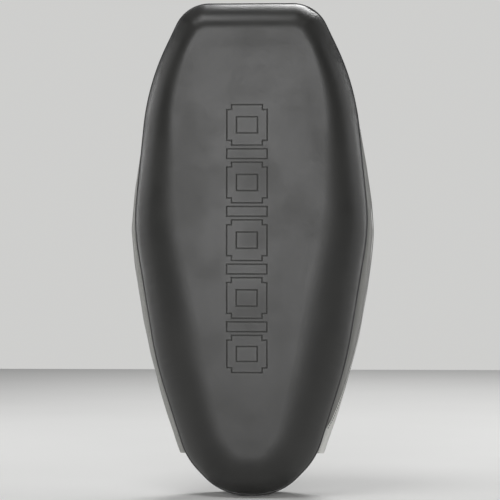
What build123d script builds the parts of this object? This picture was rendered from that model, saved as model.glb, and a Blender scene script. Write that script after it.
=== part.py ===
"""Kick shield: a padded striking pad with its cover, foam layers, side pads, grips, forearm straps and zip.

Frame: +Z up along the pad, -Y out of the striking face, +X to the right seen from the front.
The origin is the middle of the back panel's outer face, between the two grips.
"""
from math import asin, atan2, cos, degrees, radians, sin, tan
import os

from build123d import *

os.makedirs("parts", exist_ok=True)

# Overall pad
pad_height = 610.0
pad_width = 288.0
wall_depth = 62.0
crown_depth = 38.0
roll_flat = 1.0
skin = 2.0
piping = 4.0
piping_proud = 1.8

# Corners of the face as shares of the half width and half height, from the top round to the bottom,
# and the radius that rounds each one
CORNERS = [(0.556, 1.0), (0.889, 0.672), (1.014, 0.098), (0.82, -0.459), (0.556, -0.852), (0.25, -1.0)]
CORNER_RADII = [45.0, 300.0, 250.0, 500.0, 90.0, 70.0]

# Places on that face, as shares of the same two halves: the joins in the boxing, the side pads and their rake
BOXING_JOINS = (0.813, -0.839)
SIDE_PAD_TOP = (0.885, 0.607)
SIDE_PAD_UPPER = (0.99, 0.343)
SIDE_PAD_WIDEST = 0.079
SIDE_PAD_LOWER = (0.913, -0.37)
SIDE_PAD_BOTTOM = (0.639, -0.82)
RAKE_FRONT = -0.564
RAKE_MIDDLE = -0.197

# Layers inside, from the back panel forward
sheet_thickness = 6.0
core_depth = 34.0

# Side pads
side_pad_proud = 8.0
side_pad_depth = 48.0
side_pad_back = 7.0

# Rolled grips and the carry handle
core_radius = 6.0
grip_radius = 13.0
grip_end_radius = 4.5
grip_reach = 38.0
leg_lean = 10.0
bend_radius = 18.0
barrel_length = 18.0
patch_thickness = 2.5
patch_length = 44.0
patch_width = 34.0
patch_corner = 6.0
swing_gap = 0.3
sleeve_gap = 0.15
grip_feet = 68.0
grip_x = 55.0
grip_z = 10.0
carry_feet = 52.0
carry_z = 246.0

# Forearm straps
strap_width = 50.0
strap_thickness = 3.0
strap_half_span = 78.0
strap_rise = 44.0
strap_tab = 26.0
lining_thickness = 7.0
lining_arc = 66.0
tail_thickness = 2.4
tail_width = 48.0
tail_arc = 50.0
anchor_thickness = 1.4
ring_wire = 2.0
ring_side_gap = 2.0
ring_far_arc = 12.0
ring_near_arc = 1.8
upper_strap_z = 152.0
lower_strap_z = -128.0

# Loading zip
zip_length = 150.0
zip_z = -218.0
tooth_pitch = 3.0
tooth_long = 2.0
tooth_row = 6.0
tooth_height = 2.0
tape_width = 11.0
tape_thickness = 1.0
slider_long = 13.0
slider_wide = 11.0
slider_top = 3.6
slider_corner = 2.0
stop_long = 3.0
ear_thickness = 1.2
pin_radius = 0.8
eye_radius = 2.3
eye_width = 4.6
pull_long = 24.0
pull_wide = 8.0
pull_thickness = 1.3
pull_hole = 1.8
neck_long = 4.0

# Fixings
rivet_radius = 4.5
rivet_head = 2.0
rivet_edge = 1.2
rivet_shank = 1.8
rivet_from_foot = 15.0
washer_radius = 6.0
washer_thickness = 1.2
eyelet_radius = 7.0
eyelet_bore = 3.5
eyelet_flange = 1.0
eyelet_wall = 0.8
eyelet_x = 70.0
eyelet_z = 204.0

half_width = pad_width / 2
half_height = pad_height / 2
sheet_front = skin + sheet_thickness
core_front = sheet_front + core_depth


def depth_plane(y):
    """A plane facing forward at this y, with x to the right and y up the pad."""
    return Plane.XZ.offset(-y)


def save(builder, name):
    builder.part.label = name
    export_step(builder.part, f"parts/{name}.step")


def seam_face(inset=0.0):
    """The face of the pad inside its seam, drawn in or let out evenly by the inset."""
    right = [(x * half_width, z * half_height) for x, z in CORNERS]
    left = [(-x, z) for x, z in reversed(right)]
    with BuildSketch() as face:
        with BuildLine():
            FilletPolyline(*right, *left, radius=CORNER_RADII + CORNER_RADII[::-1], close=True)
        make_face()
        if inset:
            offset(amount=-inset, mode=Mode.REPLACE)
    return face.sketch


def dome(inset):
    """The front of the pad: its outline carried forward, with the long rolled edge."""
    with BuildPart() as front:
        with BuildSketch(depth_plane(-wall_depth)):
            add(seam_face(inset))
        extrude(amount=crown_depth - inset)
        fillet(front.faces().sort_by(Axis.Y)[0].edges(), crown_depth - inset - roll_flat)
    return front.part


def slab(back_y, front_y, inset=0.0):
    """A flat layer of the pad's outline between two depths."""
    with BuildPart() as layer:
        with BuildSketch(depth_plane(back_y)):
            add(seam_face(inset))
        extrude(amount=back_y - front_y)
    return layer.part


def band_round(back_y, front_y, proud):
    """A closed band that stands proud of the pad's outline, as a piping does."""
    with BuildPart() as band:
        add(slab(back_y, front_y, -proud))
        add(slab(back_y, front_y), mode=Mode.SUBTRACT)
    return band.part


# Front cover: a moulded skin over the rolled edge and the plateau
with BuildPart() as front_cover:
    add(dome(0.0))
    add(dome(skin), mode=Mode.SUBTRACT)
save(front_cover, "front_cover")

# Impact foam: fills the front cover and the front of the boxing
with BuildPart() as impact_foam:
    add(dome(skin))
    add(slab(-core_front, -wall_depth, skin))
save(impact_foam, "impact_foam")

# Core foam, the firmer block behind the impact foam
with BuildPart() as core_foam:
    add(slab(-sheet_front, -core_front, skin))
save(core_foam, "core_foam")

# Places on the back panel that several pieces share
grip_centres = [(-grip_x, grip_z), (grip_x, grip_z)]
grip_rivet_places = [(x, z + side * (grip_feet + rivet_from_foot)) for x, z in grip_centres for side in (-1, 1)]
carry_rivet_places = [(side * (carry_feet + rivet_from_foot), carry_z) for side in (-1, 1)]
rivet_places = grip_rivet_places + carry_rivet_places
eyelet_places = [(side * eyelet_x, eyelet_z) for side in (-1, 1)]

# Stiffening sheet behind the foam, with pockets for the washers and vent holes
with BuildPart() as stiffening_sheet:
    add(slab(-skin, -sheet_front, skin))
    with BuildSketch(depth_plane(-skin)):
        with Locations(*rivet_places):
            Circle(washer_radius + sleeve_gap)
    extrude(amount=washer_thickness + sleeve_gap, mode=Mode.SUBTRACT)
    with BuildSketch(depth_plane(-skin)):
        with Locations(*eyelet_places):
            Circle(eyelet_bore)
    extrude(amount=sheet_thickness, mode=Mode.SUBTRACT)
save(stiffening_sheet, "stiffening_sheet")

# Back cover, cut for the rivets, the eyelets and the loading slit
with BuildPart() as back_cover:
    add(slab(0, -skin))
    with BuildSketch(depth_plane(0)):
        with Locations(*rivet_places):
            Circle(rivet_shank)
        with Locations(*eyelet_places):
            Circle(eyelet_bore + eyelet_wall)
        with Locations((0, zip_z)):
            SlotOverall(zip_length, tooth_row)
    extrude(amount=skin, mode=Mode.SUBTRACT)
save(back_cover, "back_cover")

# Boxing: the strip round the pad's edge, in four lengths
boxing_top_z, boxing_bottom_z = (share * half_height for share in BOXING_JOINS)
side_middle = (boxing_top_z + boxing_bottom_z) / 2
side_length = boxing_top_z - boxing_bottom_z
boxing_cuts = {
    "boxing_top": ((0, boxing_top_z + half_height / 2), (2 * pad_width, half_height)),
    "boxing_bottom": ((0, boxing_bottom_z - half_height / 2), (2 * pad_width, half_height)),
    "boxing_left": ((-pad_width / 2, side_middle), (pad_width, side_length)),
    "boxing_right": ((pad_width / 2, side_middle), (pad_width, side_length)),
}
for name, (centre, size) in boxing_cuts.items():
    with BuildPart() as boxing:
        with BuildSketch(depth_plane(-skin)):
            add(seam_face())
            add(seam_face(skin), mode=Mode.SUBTRACT)
            with Locations(centre):
                Rectangle(*size, mode=Mode.INTERSECT)
        extrude(amount=wall_depth - skin)
    save(boxing, name)

# Pipings over the front and back seams
with BuildPart() as front_piping:
    add(band_round(-wall_depth + piping / 2, -wall_depth - piping / 2, piping_proud))
save(front_piping, "front_piping")

with BuildPart() as back_piping:
    add(band_round(0, -piping, piping_proud))
save(back_piping, "back_piping")


def face_point(side, share_x, share_z):
    return side * share_x * half_width, share_z * half_height


def side_pad(side):
    """A padded wing on one side of the boxing: proud in the middle, run out at the top, square below."""
    top = face_point(side, *SIDE_PAD_TOP)
    widest = (side * (half_width + side_pad_proud), SIDE_PAD_WIDEST * half_height)
    bottom = face_point(side, *SIDE_PAD_BOTTOM)
    with BuildPart() as wing:
        with BuildSketch(depth_plane(-side_pad_back)):
            with BuildLine():
                ThreePointArc(top, face_point(side, *SIDE_PAD_UPPER), widest)
                ThreePointArc(widest, face_point(side, *SIDE_PAD_LOWER), bottom)
                Polyline(bottom, (0, bottom[1]), (0, top[1]), top)
            make_face()
            add(seam_face(), mode=Mode.SUBTRACT)
        extrude(amount=side_pad_depth)
    return wing.part


# The rake between the right wing's upper length and its pale tail
side_pad_middle_y = -side_pad_back - side_pad_depth / 2
side_pad_front_y = -side_pad_back - side_pad_depth
rake_start = Vector(0, side_pad_middle_y, RAKE_MIDDLE * half_height)
rake = Vector(0, side_pad_front_y, RAKE_FRONT * half_height) - rake_start
rake_plane = Plane(origin=rake_start, x_dir=(1, 0, 0), z_dir=Vector(1, 0, 0).cross(rake))

with BuildPart() as side_pad_left:
    add(side_pad(-1))
save(side_pad_left, "side_pad_left")

with BuildPart() as side_pad_right:
    add(side_pad(1))
    split(bisect_by=rake_plane, keep=Keep.TOP)
with BuildPart() as side_pad_right_tail:
    add(side_pad(1))
    split(bisect_by=rake_plane, keep=Keep.BOTTOM)
save(side_pad_right, "side_pad_right")
save(side_pad_right_tail, "side_pad_right_tail")

# Rolled handles: each stands on two feet and swings about the line through them
foot_height = patch_thickness + swing_gap + core_radius


def handle_plane(x, z, upright):
    """A plane with x along the handle's feet and y straight out of the back panel."""
    if upright:
        return Plane(origin=(x, 0, z), x_dir=(0, 0, 1), z_dir=(-1, 0, 0))
    return Plane(origin=(x, 0, z), x_dir=(1, 0, 0), z_dir=(0, 0, 1))


def handle_core(plane, feet):
    """The rolled core: up one leg, along the grip and down the other, with a round barrel at each foot."""
    legs = feet - leg_lean
    with BuildPart() as core:
        with BuildLine(plane) as path:
            FilletPolyline(
                (-feet, foot_height), (-legs, grip_reach), (legs, grip_reach), (feet, foot_height), radius=bend_radius
            )
        with BuildSketch(Plane(origin=path.line @ 0, z_dir=path.line % 0)):
            Circle(core_radius)
        sweep()
        with Locations(*[plane.location * Location((side * feet, foot_height, 0), (0, 90, 0)) for side in (-1, 1)]):
            Cylinder(core_radius, barrel_length)
    return core.part


def handle_grip(plane, feet):
    """The padded sleeve round the core's straight middle, between the two bends."""
    turn = 90 - degrees(atan2(leg_lean, grip_reach - foot_height))
    length = 2 * (feet - leg_lean - bend_radius * tan(radians(turn / 2)) - sleeve_gap)
    with BuildPart() as grip:
        with Locations(plane.location * Location((0, grip_reach, 0), (0, 90, 0))):
            Cylinder(grip_radius, length)
            fillet(grip.edges().filter_by(GeomType.CIRCLE), grip_end_radius)
            Cylinder(core_radius + sleeve_gap, length, mode=Mode.SUBTRACT)
    return grip.part


handles = {
    "grip_left": (handle_plane(-grip_x, grip_z, True), grip_feet),
    "grip_right": (handle_plane(grip_x, grip_z, True), grip_feet),
    "carry": (handle_plane(0, carry_z, False), carry_feet),
}
for name, (plane, feet) in handles.items():
    with BuildPart() as core:
        add(handle_core(plane, feet))
    save(core, f"{name}_core")
    with BuildPart() as sleeve:
        add(handle_grip(plane, feet))
    save(sleeve, f"{name}_sleeve")

# Reinforcing patches under the feet, with holes for the rivets
foot_middle = rivet_from_foot / 2


def patches(places, rivets, size):
    with BuildPart() as plates:
        with BuildSketch(depth_plane(patch_thickness)):
            with Locations(*places):
                RectangleRounded(*size, patch_corner)
            with Locations(*rivets):
                Circle(rivet_shank, mode=Mode.SUBTRACT)
        extrude(amount=patch_thickness)
    return plates.part


grip_patch_places = [(x, z + side * (grip_feet + foot_middle)) for x, z in grip_centres for side in (-1, 1)]
carry_patch_places = [(side * (carry_feet + foot_middle), carry_z) for side in (-1, 1)]
with BuildPart() as grip_patches:
    add(patches(grip_patch_places, grip_rivet_places, (patch_width, patch_length)))
save(grip_patches, "grip_patches")
with BuildPart() as carry_patches:
    add(patches(carry_patch_places, carry_rivet_places, (patch_length, patch_width)))
save(carry_patches, "carry_patches")

# Rivets through the patches and the back cover, on washers in the stiffening sheet
with BuildPart() as rivets:
    with BuildSketch(depth_plane(patch_thickness + rivet_head)):
        with Locations(*rivet_places):
            Circle(rivet_radius)
    extrude(amount=rivet_head)
    fillet(rivets.faces().group_by(Axis.Y)[-1].edges(), rivet_edge)
    with BuildSketch(depth_plane(patch_thickness)):
        with Locations(*rivet_places):
            Circle(rivet_shank - sleeve_gap)
    extrude(amount=patch_thickness + skin)
save(rivets, "rivets")

with BuildPart() as rivet_washers:
    with BuildSketch(depth_plane(-skin)):
        with Locations(*rivet_places):
            Circle(washer_radius)
    extrude(amount=washer_thickness)
save(rivet_washers, "rivet_washers")

# Vent eyelets through the back cover
with BuildPart() as vent_eyelets:
    with BuildSketch(depth_plane(eyelet_flange)):
        with Locations(*eyelet_places):
            Circle(eyelet_radius)
    extrude(amount=eyelet_flange)
    with BuildSketch(depth_plane(0)):
        with Locations(*eyelet_places):
            Circle(eyelet_bore + eyelet_wall)
    extrude(amount=skin)
    with BuildSketch(depth_plane(eyelet_flange)):
        with Locations(*eyelet_places):
            Circle(eyelet_bore)
    extrude(amount=eyelet_flange + skin, mode=Mode.SUBTRACT)
save(vent_eyelets, "vent_eyelets")

# Forearm straps: a wide arched strap, its lining, a ring at the right and a tail that folds back over it
arc_radius = (strap_half_span**2 + strap_rise**2) / (2 * strap_rise)
arc_centre_y = strap_thickness / 2 + strap_rise - arc_radius
arc_half = degrees(asin(strap_half_span / arc_radius))


def arc_place(arc):
    """The x and y of the point on the strap's arc this many degrees in from its right end."""
    angle = radians(90 - arc_half + arc)
    return arc_radius * cos(angle), arc_centre_y + arc_radius * sin(angle)


ring_far = arc_place(ring_far_arc)
ring_near = arc_place(ring_near_arc)
strap_stop = ring_far_arc + degrees((ring_wire + sleeve_gap) / arc_radius)
ring_half_width = strap_width / 2 + ring_side_gap + ring_wire


def strap_layer(z, radius, thickness, start, size, width):
    """One layer of a strap: part of the arch, as thick and as wide as asked."""
    with BuildPart() as layer:
        with BuildSketch(Plane.XY.offset(z - width / 2)):
            with BuildLine():
                CenterArc((0, arc_centre_y), radius, start, size)
            trace(line_width=thickness)
        extrude(amount=width)
    return layer.part


straps = {"upper_strap": upper_strap_z, "lower_strap": lower_strap_z}
for name, z in straps.items():
    start = 90 - arc_half + strap_stop
    with BuildPart() as webbing:
        add(strap_layer(z, arc_radius, strap_thickness, start, 90 + arc_half - start, strap_width))
        with BuildSketch(depth_plane(0)):
            with Locations((-strap_half_span - strap_tab / 2, z)):
                Rectangle(strap_tab + strap_thickness, strap_width)
        extrude(amount=-strap_thickness)
    save(webbing, f"{name}_webbing")

    lining_radius = arc_radius - strap_thickness / 2 - sleeve_gap - lining_thickness / 2
    with BuildPart() as lining:
        add(strap_layer(z, lining_radius, lining_thickness, 90 - lining_arc / 2, lining_arc, strap_width))
    save(lining, f"{name}_lining")

    tail_radius = arc_radius + strap_thickness / 2 + swing_gap + tail_thickness / 2
    tail_start = strap_stop + degrees((ring_wire + swing_gap) / arc_radius)
    with BuildPart() as tail:
        add(strap_layer(z, tail_radius, tail_thickness, 90 - arc_half + tail_start, tail_arc, tail_width))
    save(tail, f"{name}_tail")

    with BuildPart() as ring:
        for x, y in (ring_far, ring_near):
            with BuildSketch(Plane.XY.offset(z - ring_half_width)):
                with Locations((x, y)):
                    Circle(ring_wire)
            extrude(amount=2 * ring_half_width)
        for side in (-1, 1):
            with BuildSketch(Plane.XY.offset(z + side * (ring_half_width - ring_wire) - ring_wire)):
                with BuildLine():
                    Line(ring_far, ring_near)
                trace(line_width=2 * ring_wire)
            extrude(amount=2 * ring_wire)
    save(ring, f"{name}_ring")

    with BuildPart() as anchor:
        with BuildSketch(depth_plane(0)):
            with Locations((strap_half_span + strap_tab / 2 - ring_wire, z)):
                Rectangle(strap_tab + strap_thickness, strap_width)
        extrude(amount=-anchor_thickness)
        with BuildSketch(Plane.XY.offset(z - strap_width / 2)):
            with Locations(ring_near):
                Circle(ring_wire + sleeve_gap + anchor_thickness)
                Circle(ring_wire + sleeve_gap, mode=Mode.SUBTRACT)
            Rectangle(pad_width, pad_width, align=(Align.CENTER, Align.MIN), mode=Mode.INTERSECT)
        extrude(amount=strap_width)
        with BuildSketch(Plane.XY.offset(z - strap_width / 2)):
            with Locations(ring_near):
                Circle(ring_wire + sleeve_gap)
        extrude(amount=strap_width, mode=Mode.SUBTRACT)
    save(anchor, f"{name}_anchor")

# Loading zip: two tapes, a chain of teeth between them, end stops, a slider and its pull
with BuildPart() as zip_tapes:
    with BuildSketch(depth_plane(tape_thickness)):
        for side in (-1, 1):
            with Locations((0, zip_z + side * (tooth_row + tape_width) / 2)):
                Rectangle(zip_length + 2 * stop_long + tape_width, tape_width)
    extrude(amount=tape_thickness)
save(zip_tapes, "zip_tapes")

tooth_count = int(zip_length // tooth_pitch)
with BuildPart() as zip_teeth:
    with BuildSketch(depth_plane(tooth_height)):
        with Locations((0, zip_z)):
            with GridLocations(tooth_pitch, tooth_row, tooth_count, 1):
                Rectangle(tooth_long, tooth_row)
    extrude(amount=tooth_height)
save(zip_teeth, "zip_teeth")

chain_end = tooth_count * tooth_pitch / 2
with BuildPart() as zip_stops:
    with BuildSketch(depth_plane(slider_top)):
        for side in (-1, 1):
            with Locations((side * (chain_end + stop_long / 2), zip_z)):
                Rectangle(stop_long, tooth_row)
    extrude(amount=slider_top)
save(zip_stops, "zip_stops")

slider_x = chain_end - slider_long / 2 - swing_gap
pin_y = slider_top + eye_radius + swing_gap
with BuildPart() as zip_slider:
    with BuildSketch(depth_plane(slider_top)):
        with Locations((slider_x, zip_z)):
            RectangleRounded(slider_long, slider_wide, slider_corner)
    extrude(amount=slider_top - tape_thickness - swing_gap)
    with BuildSketch(depth_plane(tooth_height + swing_gap)):
        with Locations((slider_x, zip_z)):
            Rectangle(slider_long, tooth_row + 2 * swing_gap)
    extrude(amount=tooth_height, mode=Mode.SUBTRACT)
    ear_z = (eye_width + ear_thickness) / 2 + swing_gap
    for side in (-1, 1):
        with BuildSketch(Plane.XY.offset(zip_z + side * ear_z - ear_thickness / 2)):
            with Locations((slider_x, (slider_top + pin_y) / 2)):
                Rectangle(2 * eye_radius, pin_y - slider_top)
            with Locations((slider_x, pin_y)):
                Circle(eye_radius)
        extrude(amount=ear_thickness)
    with BuildSketch(Plane.XY.offset(zip_z - ear_z)):
        with Locations((slider_x, pin_y)):
            Circle(pin_radius)
    extrude(amount=2 * ear_z)
save(zip_slider, "zip_slider")

with BuildPart() as zip_pull:
    with BuildSketch(Plane.XY.offset(zip_z - eye_width / 2)):
        with Locations((slider_x, pin_y)):
            Circle(eye_radius)
        with Locations((slider_x + eye_radius + neck_long / 2, pin_y)):
            Rectangle(neck_long + eye_radius, pull_thickness)
        with Locations((slider_x, pin_y)):
            Circle(pin_radius + sleeve_gap, mode=Mode.SUBTRACT)
    extrude(amount=eye_width)
    with BuildSketch(depth_plane(pin_y + pull_thickness / 2)):
        with Locations((slider_x + eye_radius + neck_long + pull_long / 2, zip_z)):
            SlotOverall(pull_long, pull_wide)
            with Locations((pull_long / 2 - pull_wide / 2, 0)):
                Circle(pull_hole, mode=Mode.SUBTRACT)
    extrude(amount=pull_thickness)
save(zip_pull, "zip_pull")
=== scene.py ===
# %% [markdown]
# # A padded kick shield
# A kick shield is a long foam pad in a sewn leatherette cover. One person holds it by grips and forearm
# straps at the back while another kicks the smooth front. This lesson dresses the built frame of the pad,
# piece by piece: covers first, then seams, straps and fittings, then light and camera.

from math import asin, cos, degrees, pi, radians, sin, sqrt, tan

import bmesh
import bpy
import numpy as np
from mathutils import Matrix, Vector
from mathutils.kdtree import KDTree


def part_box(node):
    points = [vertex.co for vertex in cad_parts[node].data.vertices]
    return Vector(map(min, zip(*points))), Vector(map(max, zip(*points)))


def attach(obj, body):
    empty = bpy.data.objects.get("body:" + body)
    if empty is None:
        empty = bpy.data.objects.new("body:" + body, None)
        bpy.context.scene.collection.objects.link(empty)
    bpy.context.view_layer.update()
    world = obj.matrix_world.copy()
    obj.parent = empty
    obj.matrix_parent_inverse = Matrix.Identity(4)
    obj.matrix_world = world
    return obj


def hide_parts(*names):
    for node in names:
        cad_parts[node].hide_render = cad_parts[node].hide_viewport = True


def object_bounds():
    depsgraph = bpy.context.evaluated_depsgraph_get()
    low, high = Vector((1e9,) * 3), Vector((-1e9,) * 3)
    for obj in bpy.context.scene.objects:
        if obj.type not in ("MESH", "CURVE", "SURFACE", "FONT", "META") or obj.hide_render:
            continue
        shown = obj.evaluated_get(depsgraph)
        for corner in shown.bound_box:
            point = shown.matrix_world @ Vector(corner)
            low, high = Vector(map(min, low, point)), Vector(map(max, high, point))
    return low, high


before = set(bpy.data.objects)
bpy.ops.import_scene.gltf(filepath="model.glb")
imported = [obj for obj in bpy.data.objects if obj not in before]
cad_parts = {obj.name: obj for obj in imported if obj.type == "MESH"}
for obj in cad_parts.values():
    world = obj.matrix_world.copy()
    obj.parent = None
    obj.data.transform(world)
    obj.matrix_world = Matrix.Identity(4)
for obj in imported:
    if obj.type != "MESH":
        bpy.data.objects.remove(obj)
bpy.context.scene.view_settings.view_transform = "Standard"
cad_low, cad_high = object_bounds()
MM = 0.001
print("frame box in mm:", [round(v / MM) for v in (*cad_low, *cad_high)])

# %% [markdown]
# ## Sizes from the frame
# The heights and depths here are read from the frame's own pieces, so the looks stay where the construction
# is; the half width and corners are given.
# The face has the same six corners a side as the pattern the cover is cut from, each rounded by its radius.

# %% Sizes
half_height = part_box("back_cover")[1].z
front_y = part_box("front_cover")[0].y
seam_y = (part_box("front_piping")[0].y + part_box("front_piping")[1].y) / 2
back_seam_y = (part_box("back_piping")[0].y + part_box("back_piping")[1].y) / 2
CORNER_HALF_WIDTH = 144 * MM
CORNERS = [(0.556, 1.0), (0.889, 0.672), (1.014, 0.098), (0.82, -0.459), (0.556, -0.852), (0.25, -1.0)]
CORNER_RADII = [45, 300, 250, 500, 90, 70]
print("half height", round(half_height / MM), "front", round(front_y / MM), "seam", round(seam_y / MM))


# %% Outline of the cover
def rounded_outline(steps=1440):
    """The cover's closed outline as even x, z points, from the middle of the top round to the right."""
    right = [(x * CORNER_HALF_WIDTH, z * half_height) for x, z in CORNERS]
    corners = right + [(-x, z) for x, z in reversed(right)]
    radii = [r * MM for r in CORNER_RADII + CORNER_RADII[::-1]]
    points = [np.array((0.0, half_height))]
    for i, corner in enumerate(corners):
        here = np.array(corner)
        before = np.array(corners[i - 1]) - here
        after = np.array(corners[(i + 1) % len(corners)]) - here
        before /= np.linalg.norm(before)
        after /= np.linalg.norm(after)
        half_turn = (pi - np.arccos(before @ after)) / 2
        reach = radii[i] * tan(half_turn)
        middle = before + after
        centre = here + middle / np.linalg.norm(middle) * radii[i] / cos(half_turn)
        start, end = here + before * reach - centre, here + after * reach - centre
        for share in np.linspace(0, 1, 24):
            arm = start * (1 - share) + end * share
            points.append(centre + arm / np.linalg.norm(arm) * radii[i])
    points.append(points[0])
    line = np.array(points)
    run = np.r_[0, np.cumsum(np.linalg.norm(np.diff(line, axis=0), axis=1))]
    even = np.linspace(0, run[-1], steps, endpoint=False)
    return np.c_[np.interp(even, run, line[:, 0]), np.interp(even, run, line[:, 1])]


OUTLINE = rounded_outline()


def along_outline(share):
    """The outline's point and its outward direction at shares of the way round, both as x, z."""
    share = np.atleast_1d(share) % 1.0
    steps = len(OUTLINE)
    closed = np.vstack([OUTLINE, OUTLINE[:1]])
    place = share * steps
    x = np.interp(place, np.arange(steps + 1), closed[:, 0])
    z = np.interp(place, np.arange(steps + 1), closed[:, 1])
    ahead = np.roll(OUTLINE, -6, axis=0) - np.roll(OUTLINE, 6, axis=0)
    ahead = np.vstack([ahead, ahead[:1]])
    tangent = np.c_[
        np.interp(place, np.arange(steps + 1), ahead[:, 0]),
        np.interp(place, np.arange(steps + 1), ahead[:, 1]),
    ]
    tangent /= np.linalg.norm(tangent, axis=1)[:, None]
    return np.c_[x, z], np.c_[-tangent[:, 1], tangent[:, 0]]


def share_at(z, side=1):
    """How far round the outline the right side, or the left, passes this height."""
    half = OUTLINE[: len(OUTLINE) // 2]
    share = np.interp(-np.atleast_1d(z), -half[:, 1], np.arange(len(half)) / len(OUTLINE))
    return share if side > 0 else 1 - share


print("outline is", round(np.abs(OUTLINE[:, 0]).max() * 2 / MM), "mm wide")

# %% [markdown]
# ## Small helpers
# Nearly every soft piece is a sheet of points with rows and columns. One helper turns such a grid into faces,
# and another makes a finished object at the origin, with its place in its mesh.


# %% Mesh helpers
def grid_faces(rows, columns, closed=False, start=0):
    """Quads between rows of points. A closed grid joins its last column to its first."""
    faces = []
    across = columns if closed else columns - 1
    for r in range(rows - 1):
        for c in range(across):
            a = start + r * columns + c
            b = start + r * columns + (c + 1) % columns
            faces.append((a, b, b + columns, a + columns))
    return faces


def add_piece(name, points, faces, material, smooth=True):
    mesh = bpy.data.meshes.new(name)
    mesh.from_pydata(
        [tuple(p) for p in np.asarray(points, float)], [], [tuple(int(i) for i in f) for f in faces]
    )
    mesh.validate()
    mesh.materials.append(material)
    mesh.polygons.foreach_set("use_smooth", [smooth] * len(mesh.polygons))
    piece = bpy.data.objects.new(name, mesh)
    bpy.context.collection.objects.link(piece)
    return piece


def turn_outwards(mesh):
    """Merges doubled points and turns the faces outwards."""
    work = bmesh.new()
    work.from_mesh(mesh)
    bmesh.ops.remove_doubles(work, verts=work.verts, dist=1e-6)
    bmesh.ops.recalc_face_normals(work, faces=work.faces)
    work.to_mesh(mesh)
    work.free()


def dress(piece, body, slot, *nodes, fill=None):
    """Rides the piece on its body and hides the frame pieces it stands for. The slot name is not used."""
    piece.name = piece.name.replace(" ", "_")
    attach(piece, body)
    if nodes:
        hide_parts(*nodes)
    return piece


# %% [markdown]
# ## Finishes
# Leatherette is a plastic skin with a fine pebble grain, cast on cloth. Its look comes from three things:
# a grain that breaks up the gloss, a slow mottle in tone, and a little dust that lightens the edges.
# Each is a node group with its own sliders, so the black, grey and pale skins share one recipe.


# %% Node group helpers
def new_group(name, inputs, outputs):
    group = bpy.data.node_groups.new(name, "ShaderNodeTree")
    for label, kind, value in inputs:
        socket = group.interface.new_socket(label, in_out="INPUT", socket_type=kind)
        if value is not None:
            socket.default_value = value
    for label, kind in outputs:
        group.interface.new_socket(label, in_out="OUTPUT", socket_type=kind)
    return group, group.nodes.new("NodeGroupInput"), group.nodes.new("NodeGroupOutput")


def add_node(tree, kind, links=None, **values):
    """A node with its settings, and links given as input name or number to an output socket or a value."""
    node = tree.nodes.new(kind)
    for key, value in values.items():
        setattr(node, key, value)
    for key, value in (links or {}).items():
        if isinstance(value, bpy.types.NodeSocket):
            tree.links.new(value, node.inputs[key])
        else:
            node.inputs[key].default_value = value
    return node


FLOAT, COLOUR, VECTOR = "NodeSocketFloat", "NodeSocketColor", "NodeSocketVector"


def pebble_grain_group():
    """Leather grain: pebbles with creases between them, over finer pores, as a height and a crease mask."""
    group, given, made = new_group(
        "pebble grain",
        [("Place", VECTOR, None), ("Pebble size", FLOAT, 0.0012), ("Unevenness", FLOAT, 0.5)],
        [("Height", FLOAT), ("Creases", FLOAT)],
    )
    scale = add_node(group, "ShaderNodeMath", {0: 1.0, 1: given.outputs["Pebble size"]}, operation="DIVIDE")
    warp = add_node(
        group, "ShaderNodeTexNoise", {"Vector": given.outputs["Place"], "Scale": 260.0, "Detail": 2.0}
    )
    shift = add_node(
        group,
        "ShaderNodeVectorMath",
        {0: warp.outputs["Color"], 1: (0.0012, 0.0012, 0.0012)},
        operation="MULTIPLY",
    )
    place = add_node(
        group, "ShaderNodeVectorMath", {0: given.outputs["Place"], 1: shift.outputs[0]}, operation="ADD"
    )
    cells = add_node(
        group, "ShaderNodeTexVoronoi", {
            "Vector": place.outputs[0], "Scale": scale.outputs[0]
        }, feature="DISTANCE_TO_EDGE"
    )
    crease = add_node(group, "ShaderNodeMapRange", {"Value": cells.outputs["Distance"], "From Max": 0.16})
    pores = add_node(
        group, "ShaderNodeTexNoise", {"Vector": place.outputs[0], "Scale": 2600.0, "Detail": 3.0}
    )
    rough = add_node(
        group, "ShaderNodeMath", {
            0: pores.outputs["Fac"], 1: given.outputs["Unevenness"]
        }, operation="MULTIPLY"
    )
    height = add_node(group, "ShaderNodeMath", {0: crease.outputs[0], 1: rough.outputs[0]}, operation="ADD")
    group.links.new(height.outputs[0], made.inputs["Height"])
    group.links.new(crease.outputs[0], made.inputs["Creases"])
    return group


def slow_mottle_group():
    """A slow change of tone over a skin, as handling leaves it: a colour and a gloss mask."""
    group, given, made = new_group(
        "slow mottle",
        [
            ("Place", VECTOR, None),
            ("Colour", COLOUR, (0.03, 0.03, 0.03, 1)),
            ("Worn colour", COLOUR, (0.06, 0.06, 0.06, 1)),
            ("Patch size", FLOAT, 0.06),
            ("Amount", FLOAT, 0.4),
        ],
        [("Colour", COLOUR), ("Gloss", FLOAT)],
    )
    scale = add_node(group, "ShaderNodeMath", {0: 1.0, 1: given.outputs["Patch size"]}, operation="DIVIDE")
    patches = add_node(
        group,
        "ShaderNodeTexNoise",
        {"Vector": given.outputs["Place"], "Scale": scale.outputs[0], "Detail": 5.0},
    )
    spread = add_node(
        group, "ShaderNodeMapRange", {
            "Value": patches.outputs["Fac"], "From Min": 0.38, "From Max": 0.68
        }, interpolation_type="SMOOTHSTEP"
    )
    share = add_node(
        group, "ShaderNodeMath", {0: spread.outputs[0], 1: given.outputs["Amount"]}, operation="MULTIPLY"
    )
    tone = add_node(group, "ShaderNodeMix", data_type="RGBA")
    group.links.new(share.outputs[0], tone.inputs["Factor"])
    group.links.new(given.outputs["Colour"], tone.inputs[6])
    group.links.new(given.outputs["Worn colour"], tone.inputs[7])
    group.links.new(tone.outputs[2], made.inputs["Colour"])
    group.links.new(spread.outputs[0], made.inputs["Gloss"])
    return group


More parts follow.
